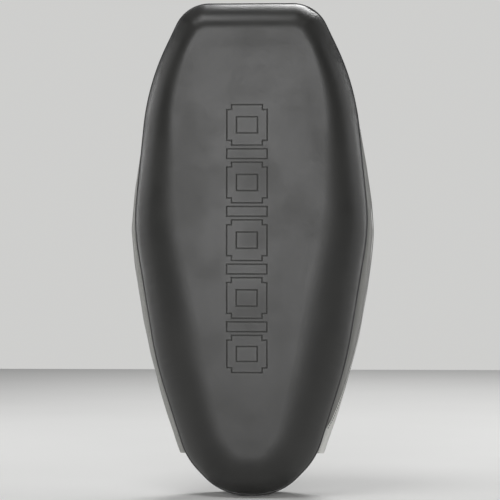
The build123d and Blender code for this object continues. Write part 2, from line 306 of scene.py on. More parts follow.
def edge_wear_group():
    """Rubbed edges: a mask that is high where the surface turns sharply outwards, broken up by noise."""
    group, given, made = new_group(
        "edge wear", [("Place", VECTOR, None), ("Reach", FLOAT, 0.55)], [("Mask", FLOAT)]
    )
    shape = add_node(group, "ShaderNodeNewGeometry")
    edge = add_node(
        group, "ShaderNodeMapRange", {
            "Value": shape.outputs["Pointiness"], "From Min": 0.5, "From Max": given.outputs["Reach"]
        }
    )
    speck = add_node(
        group, "ShaderNodeTexNoise", {"Vector": given.outputs["Place"], "Scale": 420.0, "Detail": 4.0}
    )
    mask = add_node(
        group, "ShaderNodeMath", {0: edge.outputs[0], 1: speck.outputs["Fac"]}, operation="MULTIPLY"
    )
    group.links.new(mask.outputs[0], made.inputs["Mask"])
    return group


def webbing_weave_group():
    """Woven webbing: crossing rows of yarn from two wave patterns on the strap's own map."""
    group, given, made = new_group(
        "webbing weave", [
            ("Place", VECTOR, None), ("Yarn size", FLOAT, 0.0014)
        ], [("Height", FLOAT), ("Gaps", FLOAT)]
    )
    scale = add_node(group, "ShaderNodeMath", {0: 0.32, 1: given.outputs["Yarn size"]}, operation="DIVIDE")
    rows = []
    for axis in ("X", "Y"):
        rows.append(
            add_node(
                group, "ShaderNodeTexWave", {
                    "Vector": given.outputs["Place"], "Scale": scale.outputs[0], "Distortion": 0.4
                },
                bands_direction=axis,
            )
        )
    height = add_node(
        group, "ShaderNodeMath", {0: rows[0].outputs["Fac"], 1: rows[1].outputs["Fac"]}, operation="MULTIPLY"
    )
    gaps = add_node(group, "ShaderNodeMapRange", {"Value": height.outputs[0], "From Max": 0.3})
    group.links.new(height.outputs[0], made.inputs["Height"])
    group.links.new(gaps.outputs[0], made.inputs["Gaps"])
    return group


PEBBLE_GRAIN, SLOW_MOTTLE, EDGE_WEAR, WEBBING_WEAVE = (
    pebble_grain_group(), slow_mottle_group(), edge_wear_group(), webbing_weave_group()
)
print("node groups:", sorted(g.name for g in bpy.data.node_groups))


# %% Leatherette, webbing, metal and foam
def start_material(name):
    material = bpy.data.materials.new(name)
    material.use_nodes = True
    tree = material.node_tree
    tree.nodes.clear()
    output = tree.nodes.new("ShaderNodeOutputMaterial")
    shader = tree.nodes.new("ShaderNodeBsdfPrincipled")
    tree.links.new(shader.outputs[0], output.inputs[0])
    place = tree.nodes.new("ShaderNodeTexCoord")
    return material, tree, shader, place


def place_group(tree, group, links):
    node = tree.nodes.new("ShaderNodeGroup")
    node.node_tree = group
    for key, value in links.items():
        if isinstance(value, bpy.types.NodeSocket):
            tree.links.new(value, node.inputs[key])
        else:
            node.inputs[key].default_value = value
    return node


def leatherette(name, colour, worn, pebble=1.2, bump=0.25, gloss=(0.36, 0.46), specular=0.5, mottle=0.4):
    """A cast leatherette skin: pebble in mm, gloss as the lowest and highest roughness."""
    material, tree, shader, place = start_material(name)
    at = place.outputs["Object"]
    grain = place_group(tree, PEBBLE_GRAIN, {"Place": at, "Pebble size": pebble * MM})
    tone = place_group(
        tree, SLOW_MOTTLE, {"Place": at, "Colour": (*colour, 1), "Worn colour": (*worn, 1), "Amount": mottle}
    )
    wear = place_group(tree, EDGE_WEAR, {"Place": at})
    colour_mix = add_node(tree, "ShaderNodeMix", data_type="RGBA")
    tree.links.new(wear.outputs["Mask"], colour_mix.inputs["Factor"])
    tree.links.new(tone.outputs["Colour"], colour_mix.inputs[6])
    colour_mix.inputs[7].default_value = (*[min(1, c * 1.8 + 0.02) for c in worn], 1)
    tree.links.new(colour_mix.outputs[2], shader.inputs["Base Color"])
    rough = add_node(
        tree, "ShaderNodeMapRange", {"Value": tone.outputs["Gloss"], "To Min": gloss[0], "To Max": gloss[1]}
    )
    creased = add_node(
        tree, "ShaderNodeMapRange", {"Value": grain.outputs["Creases"], "To Min": 0.12, "To Max": 0.0}
    )
    total = add_node(tree, "ShaderNodeMath", {0: rough.outputs[0], 1: creased.outputs[0]}, operation="ADD")
    tree.links.new(total.outputs[0], shader.inputs["Roughness"])
    relief = add_node(
        tree, "ShaderNodeBump", {"Height": grain.outputs["Height"], "Strength": bump, "Distance": 0.0003}
    )
    tree.links.new(relief.outputs[0], shader.inputs["Normal"])
    shader.inputs["Specular IOR Level"].default_value = specular
    return material


def woven(name, colour, light, yarn=1.4, bump=0.6, mapped=True):
    """Woven webbing or tape. A mapped piece carries a UV map in metres; other pieces use their own place."""
    material, tree, shader, place = start_material(name)
    at = place.outputs["UV" if mapped else "Object"]
    weave = place_group(tree, WEBBING_WEAVE, {"Place": at, "Yarn size": yarn * MM})
    tone = place_group(
        tree, SLOW_MOTTLE, {
            "Place": place.outputs["Object"],
            "Colour": (*colour, 1),
            "Worn colour": (*light, 1),
            "Patch size": 0.02,
        }
    )
    shade = add_node(tree, "ShaderNodeMix", data_type="RGBA", blend_type="MULTIPLY")
    shade.inputs["Factor"].default_value = 0.6
    tree.links.new(tone.outputs["Colour"], shade.inputs[6])
    tree.links.new(weave.outputs["Gaps"], shade.inputs[7])
    tree.links.new(shade.outputs[2], shader.inputs["Base Color"])
    relief = add_node(
        tree, "ShaderNodeBump", {"Height": weave.outputs["Height"], "Strength": bump, "Distance": 0.0004}
    )
    tree.links.new(relief.outputs[0], shader.inputs["Normal"])
    shader.inputs["Roughness"].default_value = 0.75
    shader.inputs["Sheen Weight"].default_value = 0.15
    shader.inputs["Sheen Roughness"].default_value = 0.5
    return material


def metal(name, colour, roughness=0.28):
    material, tree, shader, place = start_material(name)
    tone = place_group(
        tree, SLOW_MOTTLE,
        {
            "Place": place.outputs["Object"],
            "Colour": (*colour, 1),
            "Worn colour": (*[c * 0.7 for c in colour], 1),
            "Patch size": 0.006,
        },
    )
    tree.links.new(tone.outputs["Colour"], shader.inputs["Base Color"])
    rough = add_node(
        tree,
        "ShaderNodeMapRange",
        {"Value": tone.outputs["Gloss"], "To Min": roughness, "To Max": roughness + 0.15},
    )
    tree.links.new(rough.outputs[0], shader.inputs["Roughness"])
    scratch = add_node(
        tree, "ShaderNodeTexNoise", {"Vector": place.outputs["Object"], "Scale": 1500.0, "Detail": 3.0}
    )
    relief = add_node(
        tree, "ShaderNodeBump", {"Height": scratch.outputs["Fac"], "Strength": 0.08, "Distance": 0.0001}
    )
    tree.links.new(relief.outputs[0], shader.inputs["Normal"])
    shader.inputs["Metallic"].default_value = 1.0
    return material


def grained_solid(name, colour, cell, roughness=0.8, bump=0.5):
    """Foam or sheet plastic: one colour with small cells."""
    material, tree, shader, place = start_material(name)
    tone = place_group(
        tree, SLOW_MOTTLE,
        {
            "Place": place.outputs["Object"],
            "Colour": (*colour, 1),
            "Worn colour": (*[c * 0.75 for c in colour], 1),
            "Patch size": 0.03,
        },
    )
    tree.links.new(tone.outputs["Colour"], shader.inputs["Base Color"])
    cells = add_node(
        tree, "ShaderNodeTexVoronoi", {"Vector": place.outputs["Object"], "Scale": 1 / (cell * MM)}
    )
    relief = add_node(
        tree, "ShaderNodeBump", {"Height": cells.outputs["Distance"], "Strength": bump, "Distance": 0.0005}
    )
    tree.links.new(relief.outputs[0], shader.inputs["Normal"])
    shader.inputs["Roughness"].default_value = roughness
    return material


BLACK_SKIN = leatherette(
    "black leatherette",
    (0.018, 0.018, 0.017),
    (0.025, 0.025, 0.023),
    pebble=0.9,
    bump=0.10,
    gloss=(0.36, 0.43),
    mottle=0.5,
)
BOXING_SKIN = leatherette(
    "boxing leatherette", (0.024, 0.024, 0.023), (0.036, 0.036, 0.034), pebble=1.1, bump=0.3
)
# This vinyl is darker than every other black skin: partly the welt's own black, partly painted shade for the
# dark line along each seam.
PIPING_SKIN_WITH_SEAM_SHADE = leatherette(
    "piping vinyl", (0.007, 0.007, 0.007), (0.012, 0.012, 0.012), pebble=0.6, bump=0.1, gloss=(0.3, 0.4)
)
GREY_SKIN = leatherette(
    "grey leatherette", (0.20, 0.20, 0.19), (0.27, 0.27, 0.255), pebble=1.5, bump=0.55, gloss=(0.34, 0.5)
)
PALE_SKIN = leatherette(
    "pale leatherette", (0.60, 0.60, 0.575), (0.48, 0.475, 0.45), pebble=1.5, bump=0.5, gloss=(0.38, 0.5)
)
PATCH_SKIN = leatherette(
    "patch leatherette", (0.022, 0.022, 0.022), (0.045, 0.044, 0.042), pebble=1.4, bump=0.5
)
GRIP_SKIN = leatherette(
    "grip leatherette", (0.026, 0.026, 0.026), (0.05, 0.049, 0.047), pebble=1.0, bump=0.4, gloss=(0.36, 0.52)
)
BACK_SKIN = leatherette(
    "back leatherette", (0.026, 0.026, 0.026), (0.042, 0.042, 0.04), pebble=1.6, bump=0.5, gloss=(0.4, 0.52)
)
WEBBING = woven("black webbing", (0.03, 0.03, 0.031), (0.05, 0.05, 0.05))
LINING_CLOTH = woven("strap lining", (0.05, 0.05, 0.053), (0.075, 0.075, 0.08), yarn=1.0, mapped=False)
ZIP_CLOTH = woven("zip tape", (0.02, 0.02, 0.021), (0.034, 0.034, 0.035), yarn=0.8, mapped=False)
HOOK_PILE = woven("hook and loop", (0.022, 0.022, 0.023), (0.05, 0.05, 0.051), yarn=1.1, bump=1.0)
NICKEL = metal("nickel steel", (0.62, 0.60, 0.57))
GUNMETAL = metal("zip metal", (0.16, 0.16, 0.165), 0.35)
TOOTH_RESIN = grained_solid("zip resin", (0.02, 0.02, 0.021), 0.6, roughness=0.35, bump=0.1)
THREAD = grained_solid("sewing thread", (0.045, 0.045, 0.046), 0.25, roughness=0.6, bump=0.6)
GREY_THREAD = grained_solid("grey thread", (0.16, 0.16, 0.155), 0.25, roughness=0.6, bump=0.6)
SOFT_FOAM = grained_solid("soft foam", (0.5, 0.49, 0.45), 1.2)
FIRM_FOAM = grained_solid("firm foam", (0.12, 0.12, 0.125), 0.8)
SHEET_PLASTIC = grained_solid("sheet plastic", (0.05, 0.05, 0.052), 2.0, roughness=0.5, bump=0.1)
print("finishes:", len(bpy.data.materials))

# %% [markdown]
# ## The struck face
# The face is one moulded skin. It rises from the seam, rolls over a soft slope and comes to a long flat
# plateau that narrows towards the bottom. The slope is short at the top, where the pad is thin enough to
# wrap a leg, and long at the sides. Rings of points run in from the seam for the roll, and then change
# slowly into a plain block in the middle, whose rows and columns hold the pressed pattern.

# %% Shape of the roll
ROLL_HEIGHTS = np.array([-305, -257, -222, -120, 25, 90, 178, 262, 305]) * MM
ROLL_WIDTHS = np.array([50, 54, 55, 62, 56, 47, 37, 29, 33]) * MM
PLATEAU_RISE = -front_y + seam_y
CROWN = 2.0 * MM
ROLL_SOFTNESS, ROLL_STEEPNESS = 2.2, 0.70


def roll_width(z):
    return np.interp(z, ROLL_HEIGHTS, ROLL_WIDTHS)


def roll_rise(share):
    """How far the roll has risen, from 0 at the seam to 1 at the plateau: steep at first, then softer."""
    return (1 - (1 - np.clip(share, 0, 1)) ** ROLL_SOFTNESS) ** ROLL_STEEPNESS


print("the plateau stands", round(PLATEAU_RISE / MM), "mm over the seam")

# %% [markdown]
# ## A pressed pattern
# The middle of the face carries a column of plain outlined blocks, pressed into the skin with a hot die.
# A pressed line is a real groove here, so its edges catch the light from any side. The block of points in
# the middle has a row or a column at each groove's two edges and floor, and plain spacing between them.

# %% Groove plan
GROOVE = 1.1 * MM
GROOVE_DEPTH = 0.5 * MM
PATTERN_X = -3 * MM
PATTERN_HALF_WIDTH = 25 * MM
PATTERN_TOP = 178 * MM
BLOCK_LENGTHS = [50, 12, 50, 12, 50, 12, 50, 12, 46]
BLOCK_GAP = 4.5 * MM
STEP = 6 * MM


def groove_lines():
    """Straight grooves as x and z ranges, all along one of the two directions."""
    lines = []
    z = PATTERN_TOP

    def across(x0, x1, at):
        lines.append(("across", min(x0, x1), max(x0, x1), at))

    def along(z0, z1, at):
        lines.append(("along", min(z0, z1), max(z0, z1), at))

    for i, length in enumerate(BLOCK_LENGTHS):
        low = z - length * MM
        half = PATTERN_HALF_WIDTH
        if i % 2:
            across(-half, half, z)
            across(-half, half, low)
            along(low, z, -half)
            along(low, z, half)
        else:
            # A block with stepped corners, and a slot inside it that opens to alternate sides
            for side in (-1, 1):
                along(low + STEP, z - STEP, side * half)
                for end, inward in ((z, -1), (low, 1)):
                    across(side * (half - STEP), side * half, end + inward * STEP)
                    along(end, end + inward * STEP, side * (half - STEP))
            across(-half + STEP, half - STEP, z)
            across(-half + STEP, half - STEP, low)
            bar = 0.30 * length * MM
            across(-half + 2 * STEP, half - 2 * STEP, z - bar)
            across(-half + 2 * STEP, half - 2 * STEP, low + bar)
            along(low + bar, z - bar, -half + 2 * STEP)
            along(low + bar, z - bar, half - 2 * STEP)
        z = low - BLOCK_GAP
    return lines


GROOVES = groove_lines()


def groove_depth_at(x, z):
    """How deep the pattern is pressed at points x, z."""
    depth = np.zeros(np.broadcast(x, z).shape)
    for way, start, end, at in GROOVES:
        over, run = (z, x) if way == "across" else (x, z)
        shift = 0 if way == "across" else PATTERN_X
        run_shift = PATTERN_X if way == "across" else 0
        aside = np.abs(over - at - shift)
        beyond = np.maximum(np.maximum(start + run_shift - run, run - end - run_shift), 0)
        reach = np.maximum(aside, beyond)
        depth = np.maximum(depth, 1 - np.clip((reach - 0.28 * GROOVE) / (0.5 * GROOVE - 0.28 * GROOVE), 0, 1))
    return depth * GROOVE_DEPTH


print(len(GROOVES), "grooves in the pattern")


# %% Rows and columns of the middle block
def spaced_lines(low, high, kept, spacing):
    """Values from low to high that hold all the kept ones, with no gap above the spacing."""
    marks = sorted({round(v, 7) for v in [low, high, *[k for k in kept if low < k < high]]})
    values = [marks[0]]
    for a, b in zip(marks, marks[1:]):
        values += list(np.linspace(a, b, max(1, int(np.ceil((b - a) / spacing))) + 1)[1:])
    return np.array(values)


EDGES = [share * GROOVE for share in (-1.1, -0.5, -0.28, 0.28, 0.5, 1.1)]
across_marks = [at + PATTERN_X + e for way, _, _, at in GROOVES if way == "along" for e in EDGES]
along_marks = [at + e for way, _, _, at in GROOVES if way == "across" for e in EDGES]
BLOCK_X = spaced_lines(-34 * MM, 28 * MM, across_marks, 4 * MM)
BLOCK_Z = spaced_lines(-164 * MM, 190 * MM, along_marks, 4 * MM)
print("middle block:", len(BLOCK_X), "columns by", len(BLOCK_Z), "rows")


# %% Build the face
def block_border():
    """The middle block's border as column, row, from its top middle and clockwise from the front."""
    nx, nz = len(BLOCK_X), len(BLOCK_Z)
    start = nx // 2
    border = [(c, nz - 1) for c in range(start, nx)]
    border += [(nx - 1, r) for r in range(nz - 2, -1, -1)]
    border += [(c, 0) for c in range(nx - 2, -1, -1)]
    border += [(0, r) for r in range(1, nz)]
    border += [(c, nz - 1) for c in range(1, start)]
    return border


def border_shares(border):
    """Where on the outline each border point's ray ends: the corners' rays are set, the rest lie between."""
    places = np.array([(BLOCK_X[c], BLOCK_Z[r]) for c, r in border])
    run = np.r_[0, np.cumsum(np.linalg.norm(np.diff(places, axis=0), axis=1))]
    total = run[-1] + np.linalg.norm(places[-1] - places[0])
    nx, nz = len(BLOCK_X), len(BLOCK_Z)
    corners = [border.index(c) for c in ((nx - 1, nz - 1), (nx - 1, 0), (0, 0), (0, nz - 1))]
    right_top, right_low = share_at(238 * MM)[0], share_at(-245 * MM)[0]
    marks = [0, right_top, right_low, 1 - right_low, 1 - right_top, 1]
    return np.interp(run, [0, *[run[c] for c in corners], total], marks)


def face_height(x, z, share):
    """The face's y. The crown is a slow swell along and across the plateau."""
    swell = CROWN * (1 - (z / half_height) ** 2) * (1 - (x / CORNER_HALF_WIDTH) ** 2)
    return seam_y - PLATEAU_RISE * 0.965 * roll_rise(share) - swell * np.clip(share, 0, 1)


def build_face(block_x, block_z, roll_steps, plateau_steps):
    """Points and faces of the front: roll rings, plateau rings, then the block."""
    border = block_border()
    shares = border_shares(border)
    edge, outward = along_outline(shares)
    count = len(border)
    width = roll_width(edge[:, 1])
    inner = np.array([(block_x[c], block_z[r]) for c, r in border])
    points = []
    for k in range(roll_steps + 1):
        share = (k / roll_steps) ** 1.15
        ring = edge - outward * (width * share)[:, None]
        y = face_height(ring[:, 0], ring[:, 1], np.full(count, share))
        # The seam gathers the skin into short shallow puckers that fade out over the slope
        gather = np.sin(2 * pi * 96 * shares) * np.sin(2 * pi * 31 * shares + 1.3) * 0.5 + 0.5
        y = y + gather * 0.5 * MM * np.exp(-((share - 0.16) / 0.13) ** 2)
        points.append(np.c_[ring[:, 0], y, ring[:, 1]])
    plateau_edge = edge - outward * width[:, None]
    for k in range(1, plateau_steps):
        blend = k / plateau_steps
        ring = plateau_edge * (1 - blend) + inner * blend
        y = face_height(ring[:, 0], ring[:, 1], np.full(count, 1.0))
        points.append(np.c_[ring[:, 0], y, ring[:, 1]])
    rings = np.vstack(points)
    ring_count = roll_steps + plateau_steps
    faces = grid_faces(ring_count, count, closed=True)
    nx, nz = len(block_x), len(block_z)
    x, z = np.meshgrid(block_x, block_z)
    y = face_height(x, z, np.ones_like(x)) + groove_depth_at(x, z)
    block = np.c_[x.ravel(), y.ravel(), z.ravel()]
    base = len(rings)
    faces += grid_faces(nz, nx, start=base)
    last = base - count
    for i in range(count):
        c0, r0 = border[i]
        c1, r1 = border[(i + 1) % count]
        faces.append((last + i, last + (i + 1) % count, base + r1 * nx + c1, base + r0 * nx + c0))
    return np.vstack([rings, block]), faces


face_points, face_faces = build_face(BLOCK_X, BLOCK_Z, 34, 34)
print("face:", len(face_points), "points; depth", round(-face_points[:, 1].min() / MM, 1), "mm")

# %% [markdown]
# ## The foam pushes out
# A sewn skin over foam isn't a drawn curve: the foam pushes it out between the seams. A coarse copy of the
# face is held at its seam and blown up a little as cloth, and the fine face then takes the same swell.
# The coarse copy keeps the work short, and the limit on the swell keeps the face inside the frame's size.


# %% Cloth helper
def blow_up(piece, pinned, pressure, frames):
    """Runs a short cloth pass on the piece with no gravity, and gives back where its points end."""
    group = piece.vertex_groups.new(name="held")
    group.add([int(i) for i in pinned], 1.0, "REPLACE")
    cloth = piece.modifiers.new("cloth", "CLOTH")
    settings = cloth.settings
    settings.quality = 6
    settings.mass = 0.3
    settings.tension_stiffness = settings.compression_stiffness = 30
    settings.shear_stiffness = 15
    settings.bending_stiffness = 0.6
    settings.use_pressure = True
    settings.uniform_pressure_force = pressure
    settings.effector_weights.gravity = 0
    settings.vertex_group_mass = "held"
    cloth.point_cache.frame_start, cloth.point_cache.frame_end = 1, frames
    scene = bpy.context.scene
    for number in range(1, frames + 1):
        scene.frame_set(number)
    graph = bpy.context.evaluated_depsgraph_get()
    mesh = piece.evaluated_get(graph).to_mesh()
    ends = np.zeros(len(mesh.vertices) * 3)
    mesh.vertices.foreach_get("co", ends)
    scene.frame_set(1)
    piece.modifiers.clear()
    piece.vertex_groups.clear()
    return ends.reshape(-1, 3)


def limited(moves, limit):
    """The same moves with none longer than the limit: long ones are eased back rather than cut."""
    length = np.linalg.norm(moves, axis=1)[:, None] + 1e-12
    return moves * (limit * np.tanh(length / limit) / length)


# %% Swell the face
FACE_PRESSURE, FACE_FRAMES, FACE_SWELL = 3.0, 14, 2.0 * MM
SMOOTHING_ROUNDS = 30


def swell_face(points):
    """Moves the fine face by the swell of a coarse closed copy."""
    rows, columns = 14, 120
    shares = np.arange(columns) / columns
    edge, outward = along_outline(shares)
    width = roll_width(edge[:, 1])
    rings = []
    for k in range(rows):
        share = k / 7
        rolled = edge - outward * (width * min(share, 1))[:, None]
        inward = max(0, (k - 7) / 7)
        ring = rolled * (1 - 0.86 * inward)
        y = face_height(ring[:, 0], ring[:, 1], np.full(columns, min(share, 1)))
        rings.append(np.c_[ring[:, 0], y, ring[:, 1]])
    coarse = np.vstack(rings)
    middle = len(coarse)
    coarse_faces = grid_faces(rows, columns, closed=True)
    back = coarse[:columns].copy()
    back[:, 1] = seam_y + 4 * MM
    coarse = np.vstack([coarse, back])
    coarse_faces += [(i, middle + i, middle + (i + 1) % columns, (i + 1) % columns) for i in range(columns)]
    coarse_faces.append(tuple(range(middle, middle + columns))[::-1])
    last = middle - columns
    coarse_faces.append(tuple(range(last, last + columns))[::-1])
    trial = add_piece("face swell trial", coarse, coarse_faces, BLACK_SKIN)
    turn_outwards(trial.data)
    bpy.context.view_layer.update()
    rest = np.array([v.co for v in trial.data.vertices])
    held = np.where(rest[:, 1] > seam_y - 1 * MM)[0]
    moves = limited(blow_up(trial, held, FACE_PRESSURE, FACE_FRAMES) - rest, FACE_SWELL)
    grid = moves[: rows * columns].reshape(rows, columns, 3)
    for _ in range(SMOOTHING_ROUNDS):
        grid[1:-1] = (
            grid[:-2] + grid[2:] + np.roll(grid[1:-1], 1, axis=1) + np.roll(grid[1:-1], -1, axis=1)
        ) / 4
    bpy.data.objects.remove(trial)
    tree = KDTree(len(rest))
    for i, place in enumerate(rest):
        tree.insert(place, i)
    tree.balance()
    moved = points.copy()
    for i, place in enumerate(points):
        near = tree.find_n(place, 40)
        weights = np.array([np.exp(-((d / (16 * MM)) ** 2)) + 1e-9 for _, _, d in near])
        moved[i] += (weights[:, None] * moves[[n for _, n, _ in near]]).sum(0) / weights.sum()
    seam_hold = np.clip((seam_y - points[:, 1]) / (8 * MM), 0, 1)[:, None]
    return points * (1 - seam_hold) + moved * seam_hold


face_points = swell_face(face_points)
deepest = face_points[:, 1].min()
face_points[:, 1] += np.clip(front_y - 4 * MM - deepest, 0, None)
front_face = add_piece("struck face", face_points, face_faces, BLACK_SKIN)
turn_outwards(front_face.data)
dress(front_face, "pad", "black_leatherette", "front_cover", fill=0.9)
print("struck face reaches", round(-face_points[:, 1].min() / MM, 1), "mm forward")


# %% Foam under the face
def build_foam(inset=3.5 * MM, columns=240, rings=26):
    """The soft foam block: the face's own shape a little smaller, with straight walls and a flat back."""
    shares = np.arange(columns) / columns
    edge, outward = along_outline(shares)
    width = roll_width(edge[:, 1])
    foam_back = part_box("impact_foam")[1].y
    wall = edge - outward * inset
    rows = [
        np.c_[wall[:, 0] * k, np.full(columns, foam_back), wall[:, 1] * k] for k in (0.02, 0.35, 0.7, 1.0)
    ]
    rows.append(np.c_[wall[:, 0], np.full(columns, seam_y + inset), wall[:, 1]])
    for k in range(rings):
        share = k / (rings - 1)
        ring = wall - outward * (width * share)[:, None]
        y = face_height(ring[:, 0], ring[:, 1], np.full(columns, share)) + inset
        rows.append(np.c_[ring[:, 0], y, ring[:, 1]])
    flat = rows[-1]
    for keep in (0.7, 0.4, 0.02):
        x, z = flat[:, 0] * keep, flat[:, 2] * keep
        rows.append(np.c_[x, face_height(x, z, np.ones(columns)) + inset, z])
    faces = grid_faces(len(rows), columns, closed=True)
    faces += [tuple(range(columns)), tuple(range((len(rows) - 1) * columns, len(rows) * columns))[::-1]]
    return np.vstack(rows), faces


foam = add_piece("impact foam block", *build_foam(), SOFT_FOAM)
turn_outwards(foam.data)
dress(foam, "pad", "soft_foam", "impact_foam", fill=1.0)
print("foam block", len(foam.data.vertices), "points")

# %% [markdown]
# ## Boxing and seams
# The boxing is the strip of leatherette that runs round the pad's edge, sewn to the face and the back.
# Where two strips meet, one end is turned under and overlaps the next. Over each long seam lies a welt:
# a cord wrapped in vinyl, whose flat tail is sewn into the seam. The welt is a closed sweep round the
# outline.


# %% Boxing strip
def outline_band(name, y_rows, standoffs, material, columns=900, wobble=0.25):
    """A strip round the outline through rows of y, each standing off the outline by its own distance."""
    shares = np.arange(columns) / columns
    place, outward = along_outline(shares)
    ripple = np.sin(2 * pi * 37 * shares + 0.7) * np.sin(2 * pi * 11 * shares) * wobble * MM
    rows = []
    for k, (y, off) in enumerate(zip(y_rows, standoffs)):
        slack = ripple * np.sin(pi * k / (len(y_rows) - 1))
        xz = place + outward * (off + slack)[:, None]
        rows.append(np.c_[xz[:, 0], np.full(columns, y), xz[:, 1]])
    return add_piece(name, np.vstack(rows), grid_faces(len(y_rows), columns, closed=True), material)


boxing_rows = np.linspace(back_seam_y, seam_y, 17)
boxing_belly = np.sin(np.linspace(0, pi, 17)) * 0.9 * MM - 0.4 * MM
boxing = outline_band("boxing strip", boxing_rows, boxing_belly, BOXING_SKIN)
turn_outwards(boxing.data)
dress(
    boxing, "pad", "black_leatherette", "boxing_top", "boxing_bottom", "boxing_left", "boxing_right", fill=0.7
)
print("boxing strip", round((boxing_rows[0] - boxing_rows[-1]) / MM), "mm deep")


# %% Boxing overlaps
def wrapped_lap(name, share, width=9 * MM, material=BOXING_SKIN):
    """A turned-under end: a thin patch over the strip from seam to seam, with a thick rounded edge."""
    total = np.linalg.norm(np.diff(OUTLINE, axis=0), axis=1).sum()
    across = np.linspace(-0.5, 0.5, 11)
    heights = 1.1 * MM * (1 - np.abs(np.linspace(-1, 1, 11)) ** 6)
    rows = []
    for y, belly in zip(boxing_rows, boxing_belly):
        place, outward = along_outline(share + across * width / total)
        xz = place + outward * (belly + heights)[:, None]
        rows.append(np.c_[xz[:, 0], np.full(11, y), xz[:, 1]])
    lap = add_piece(name, np.vstack(rows), grid_faces(len(rows), 11), material)
    return dress(lap, "pad", "black_leatherette")


LAP_HEIGHTS = (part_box("boxing_top")[0].z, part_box("boxing_bottom")[1].z)
for word, z in zip(("upper", "lower"), LAP_HEIGHTS):
    for side, hand in ((-1, "left"), (1, "right")):
        wrapped_lap(f"boxing lap {word} {hand}", share_at(z, side)[0])
print("boxing laps at", [round(z / MM) for z in LAP_HEIGHTS])


# %% Welts
def welt(name, y, radius, proud, node, columns=1100, sides=14):
    """A round cord in a vinyl wrap that follows the outline, with fine cross wrinkles from the wrap."""
    shares = np.arange(columns) / columns
    place, outward = along_outline(shares)
    wrinkle = 1 + 0.035 * np.sin(2 * pi * 420 * shares) * np.sin(2 * pi * 61 * shares + 2)
    rows = []
    for k in range(sides):
        turn = 2 * pi * k / sides
        off = (proud - radius) + radius * cos(turn) * wrinkle
        depth = y + radius * sin(turn) * wrinkle
        xz = place + outward * off[:, None]
        rows.append(np.c_[xz[:, 0], depth, xz[:, 1]])
    rows.append(rows[0])
    ring = add_piece(name, np.vstack(rows), grid_faces(sides + 1, columns, closed=True), PIPING_SKIN_WITH_SEAM_SHADE)
    turn_outwards(ring.data)
    return dress(ring, "pad", "piping_vinyl", node)


# The welts carry the vinyl's extra dark: painted seam shade over their own black.
WELT_RADIUS = 1.5 * MM
welt("front welt", seam_y, WELT_RADIUS, 1.3 * MM, "front_piping")
welt("back welt", back_seam_y, WELT_RADIUS, 1.5 * MM, "back_piping")
print("welts", round(2 * WELT_RADIUS / MM, 1), "mm thick")

# %% [markdown]
# ## Side wings
# Each side carries a long padded wing in grey leatherette, sewn flat at its top and blown out over foam in
# the middle. The right wing changes to a pale skin lower down, along a raked seam. Each wing starts as a
# grid that runs down the pad's side and over the foam, and a cloth pass with pressure then fills it out.


# %% Wing shape
def wing_reach(z):
    """How far a wing stands off the outline at each height, read from the frame's own wing."""
    heights = np.array([z for _, z in WING_EDGE])
    reach = np.array([x for x, _ in WING_EDGE])
    order = np.argsort(heights)
    outer = np.interp(z, heights[order], reach[order])
    inner = np.interp(z, *outline_half_width())
    return np.maximum(outer - inner, 0.0)


def outline_half_width():
    half = OUTLINE[: len(OUTLINE) // 2]
    order = np.argsort(half[:, 1])
    return half[order, 1], half[order, 0]


def wing_edge_points():
    """The wing's outer line from the frame's left wing, as half width and height: it bows out all the way."""
    places = sorted(
        {(round(v.co.z, 5), round(-v.co.x, 5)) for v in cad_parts["side_pad_left"].data.vertices}
    )
    edge = []
    for z, x in places:
        while len(edge) > 1:
            (z0, x0), (z1, x1) = edge[-2:]
            if (z1 - z0) * (x - x0) - (x1 - x0) * (z - z0) < 0:
                break
            edge.pop()
        edge.append((z, x))
    return [(x, z) for z, x in edge]


WING_EDGE = wing_edge_points()
wing_low, wing_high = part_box("side_pad_left")
WING_BACK, WING_FRONT = wing_high.y, wing_low.y
print(
    "wing from z",
    round(wing_low.z / MM),
    "to",
    round(wing_high.z / MM),
    "with",
    len(WING_EDGE),
    "edge points",
)


# %% Build the wings
pale_high, grey_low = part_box("side_pad_right_tail")[1].z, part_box("side_pad_right")[0].z
RAKE_LIFT = 22 * MM


def rake_height(depth):
    """The height of the raked seam between the grey and the pale skin, at each depth of the wing."""
    return np.interp(depth, [WING_FRONT, WING_BACK], [grey_low + RAKE_LIFT, pale_high - RAKE_LIFT / 3])


def wing_points(side, top, bottom, rows, columns=26):
    """A wing's skin as a grid. Its top and bottom heights may change from its back edge to its front edge."""
    run = np.linspace(0, 1, columns)
    depth = WING_BACK + (WING_FRONT - WING_BACK) * run
    profile = np.clip(1 - np.abs(2 * run - 1) ** 3.2, 0, 1) ** 0.5
    share_down = np.linspace(0, 1, rows)[:, None]
    z = top(depth)[None, :] * (1 - share_down) + bottom(depth)[None, :] * share_down
    place, outward = along_outline(share_at(z.ravel(), side))
    reach = wing_reach(z.ravel())
    crossing = np.sin(
        z * 95 + 2.2 * run + side
    ) * np.sin(z * 23 + 0.6 * side) + 0.4 * np.sin(z * 160 - 4 * run)
    wrinkle = 0.45 * MM * crossing * np.sin(pi * run)
    off = reach * np.tile(profile, rows) + wrinkle.ravel() * np.minimum(1, reach / (4 * MM))
    xz = place + outward * (off - 0.3 * MM)[:, None]
    return np.c_[xz[:, 0], np.tile(depth, rows), xz[:, 1]]


# each row of the square end: how far below the wing in mm, and how much of the wing's reach is left
CAP_ROWS = ((1.2, 0.96), (1.6, 0.85), (1.6, 0.0))
WING_PRESSURE, WING_FRAMES, WING_SWELL = 6.0, 12, 1.6 * MM


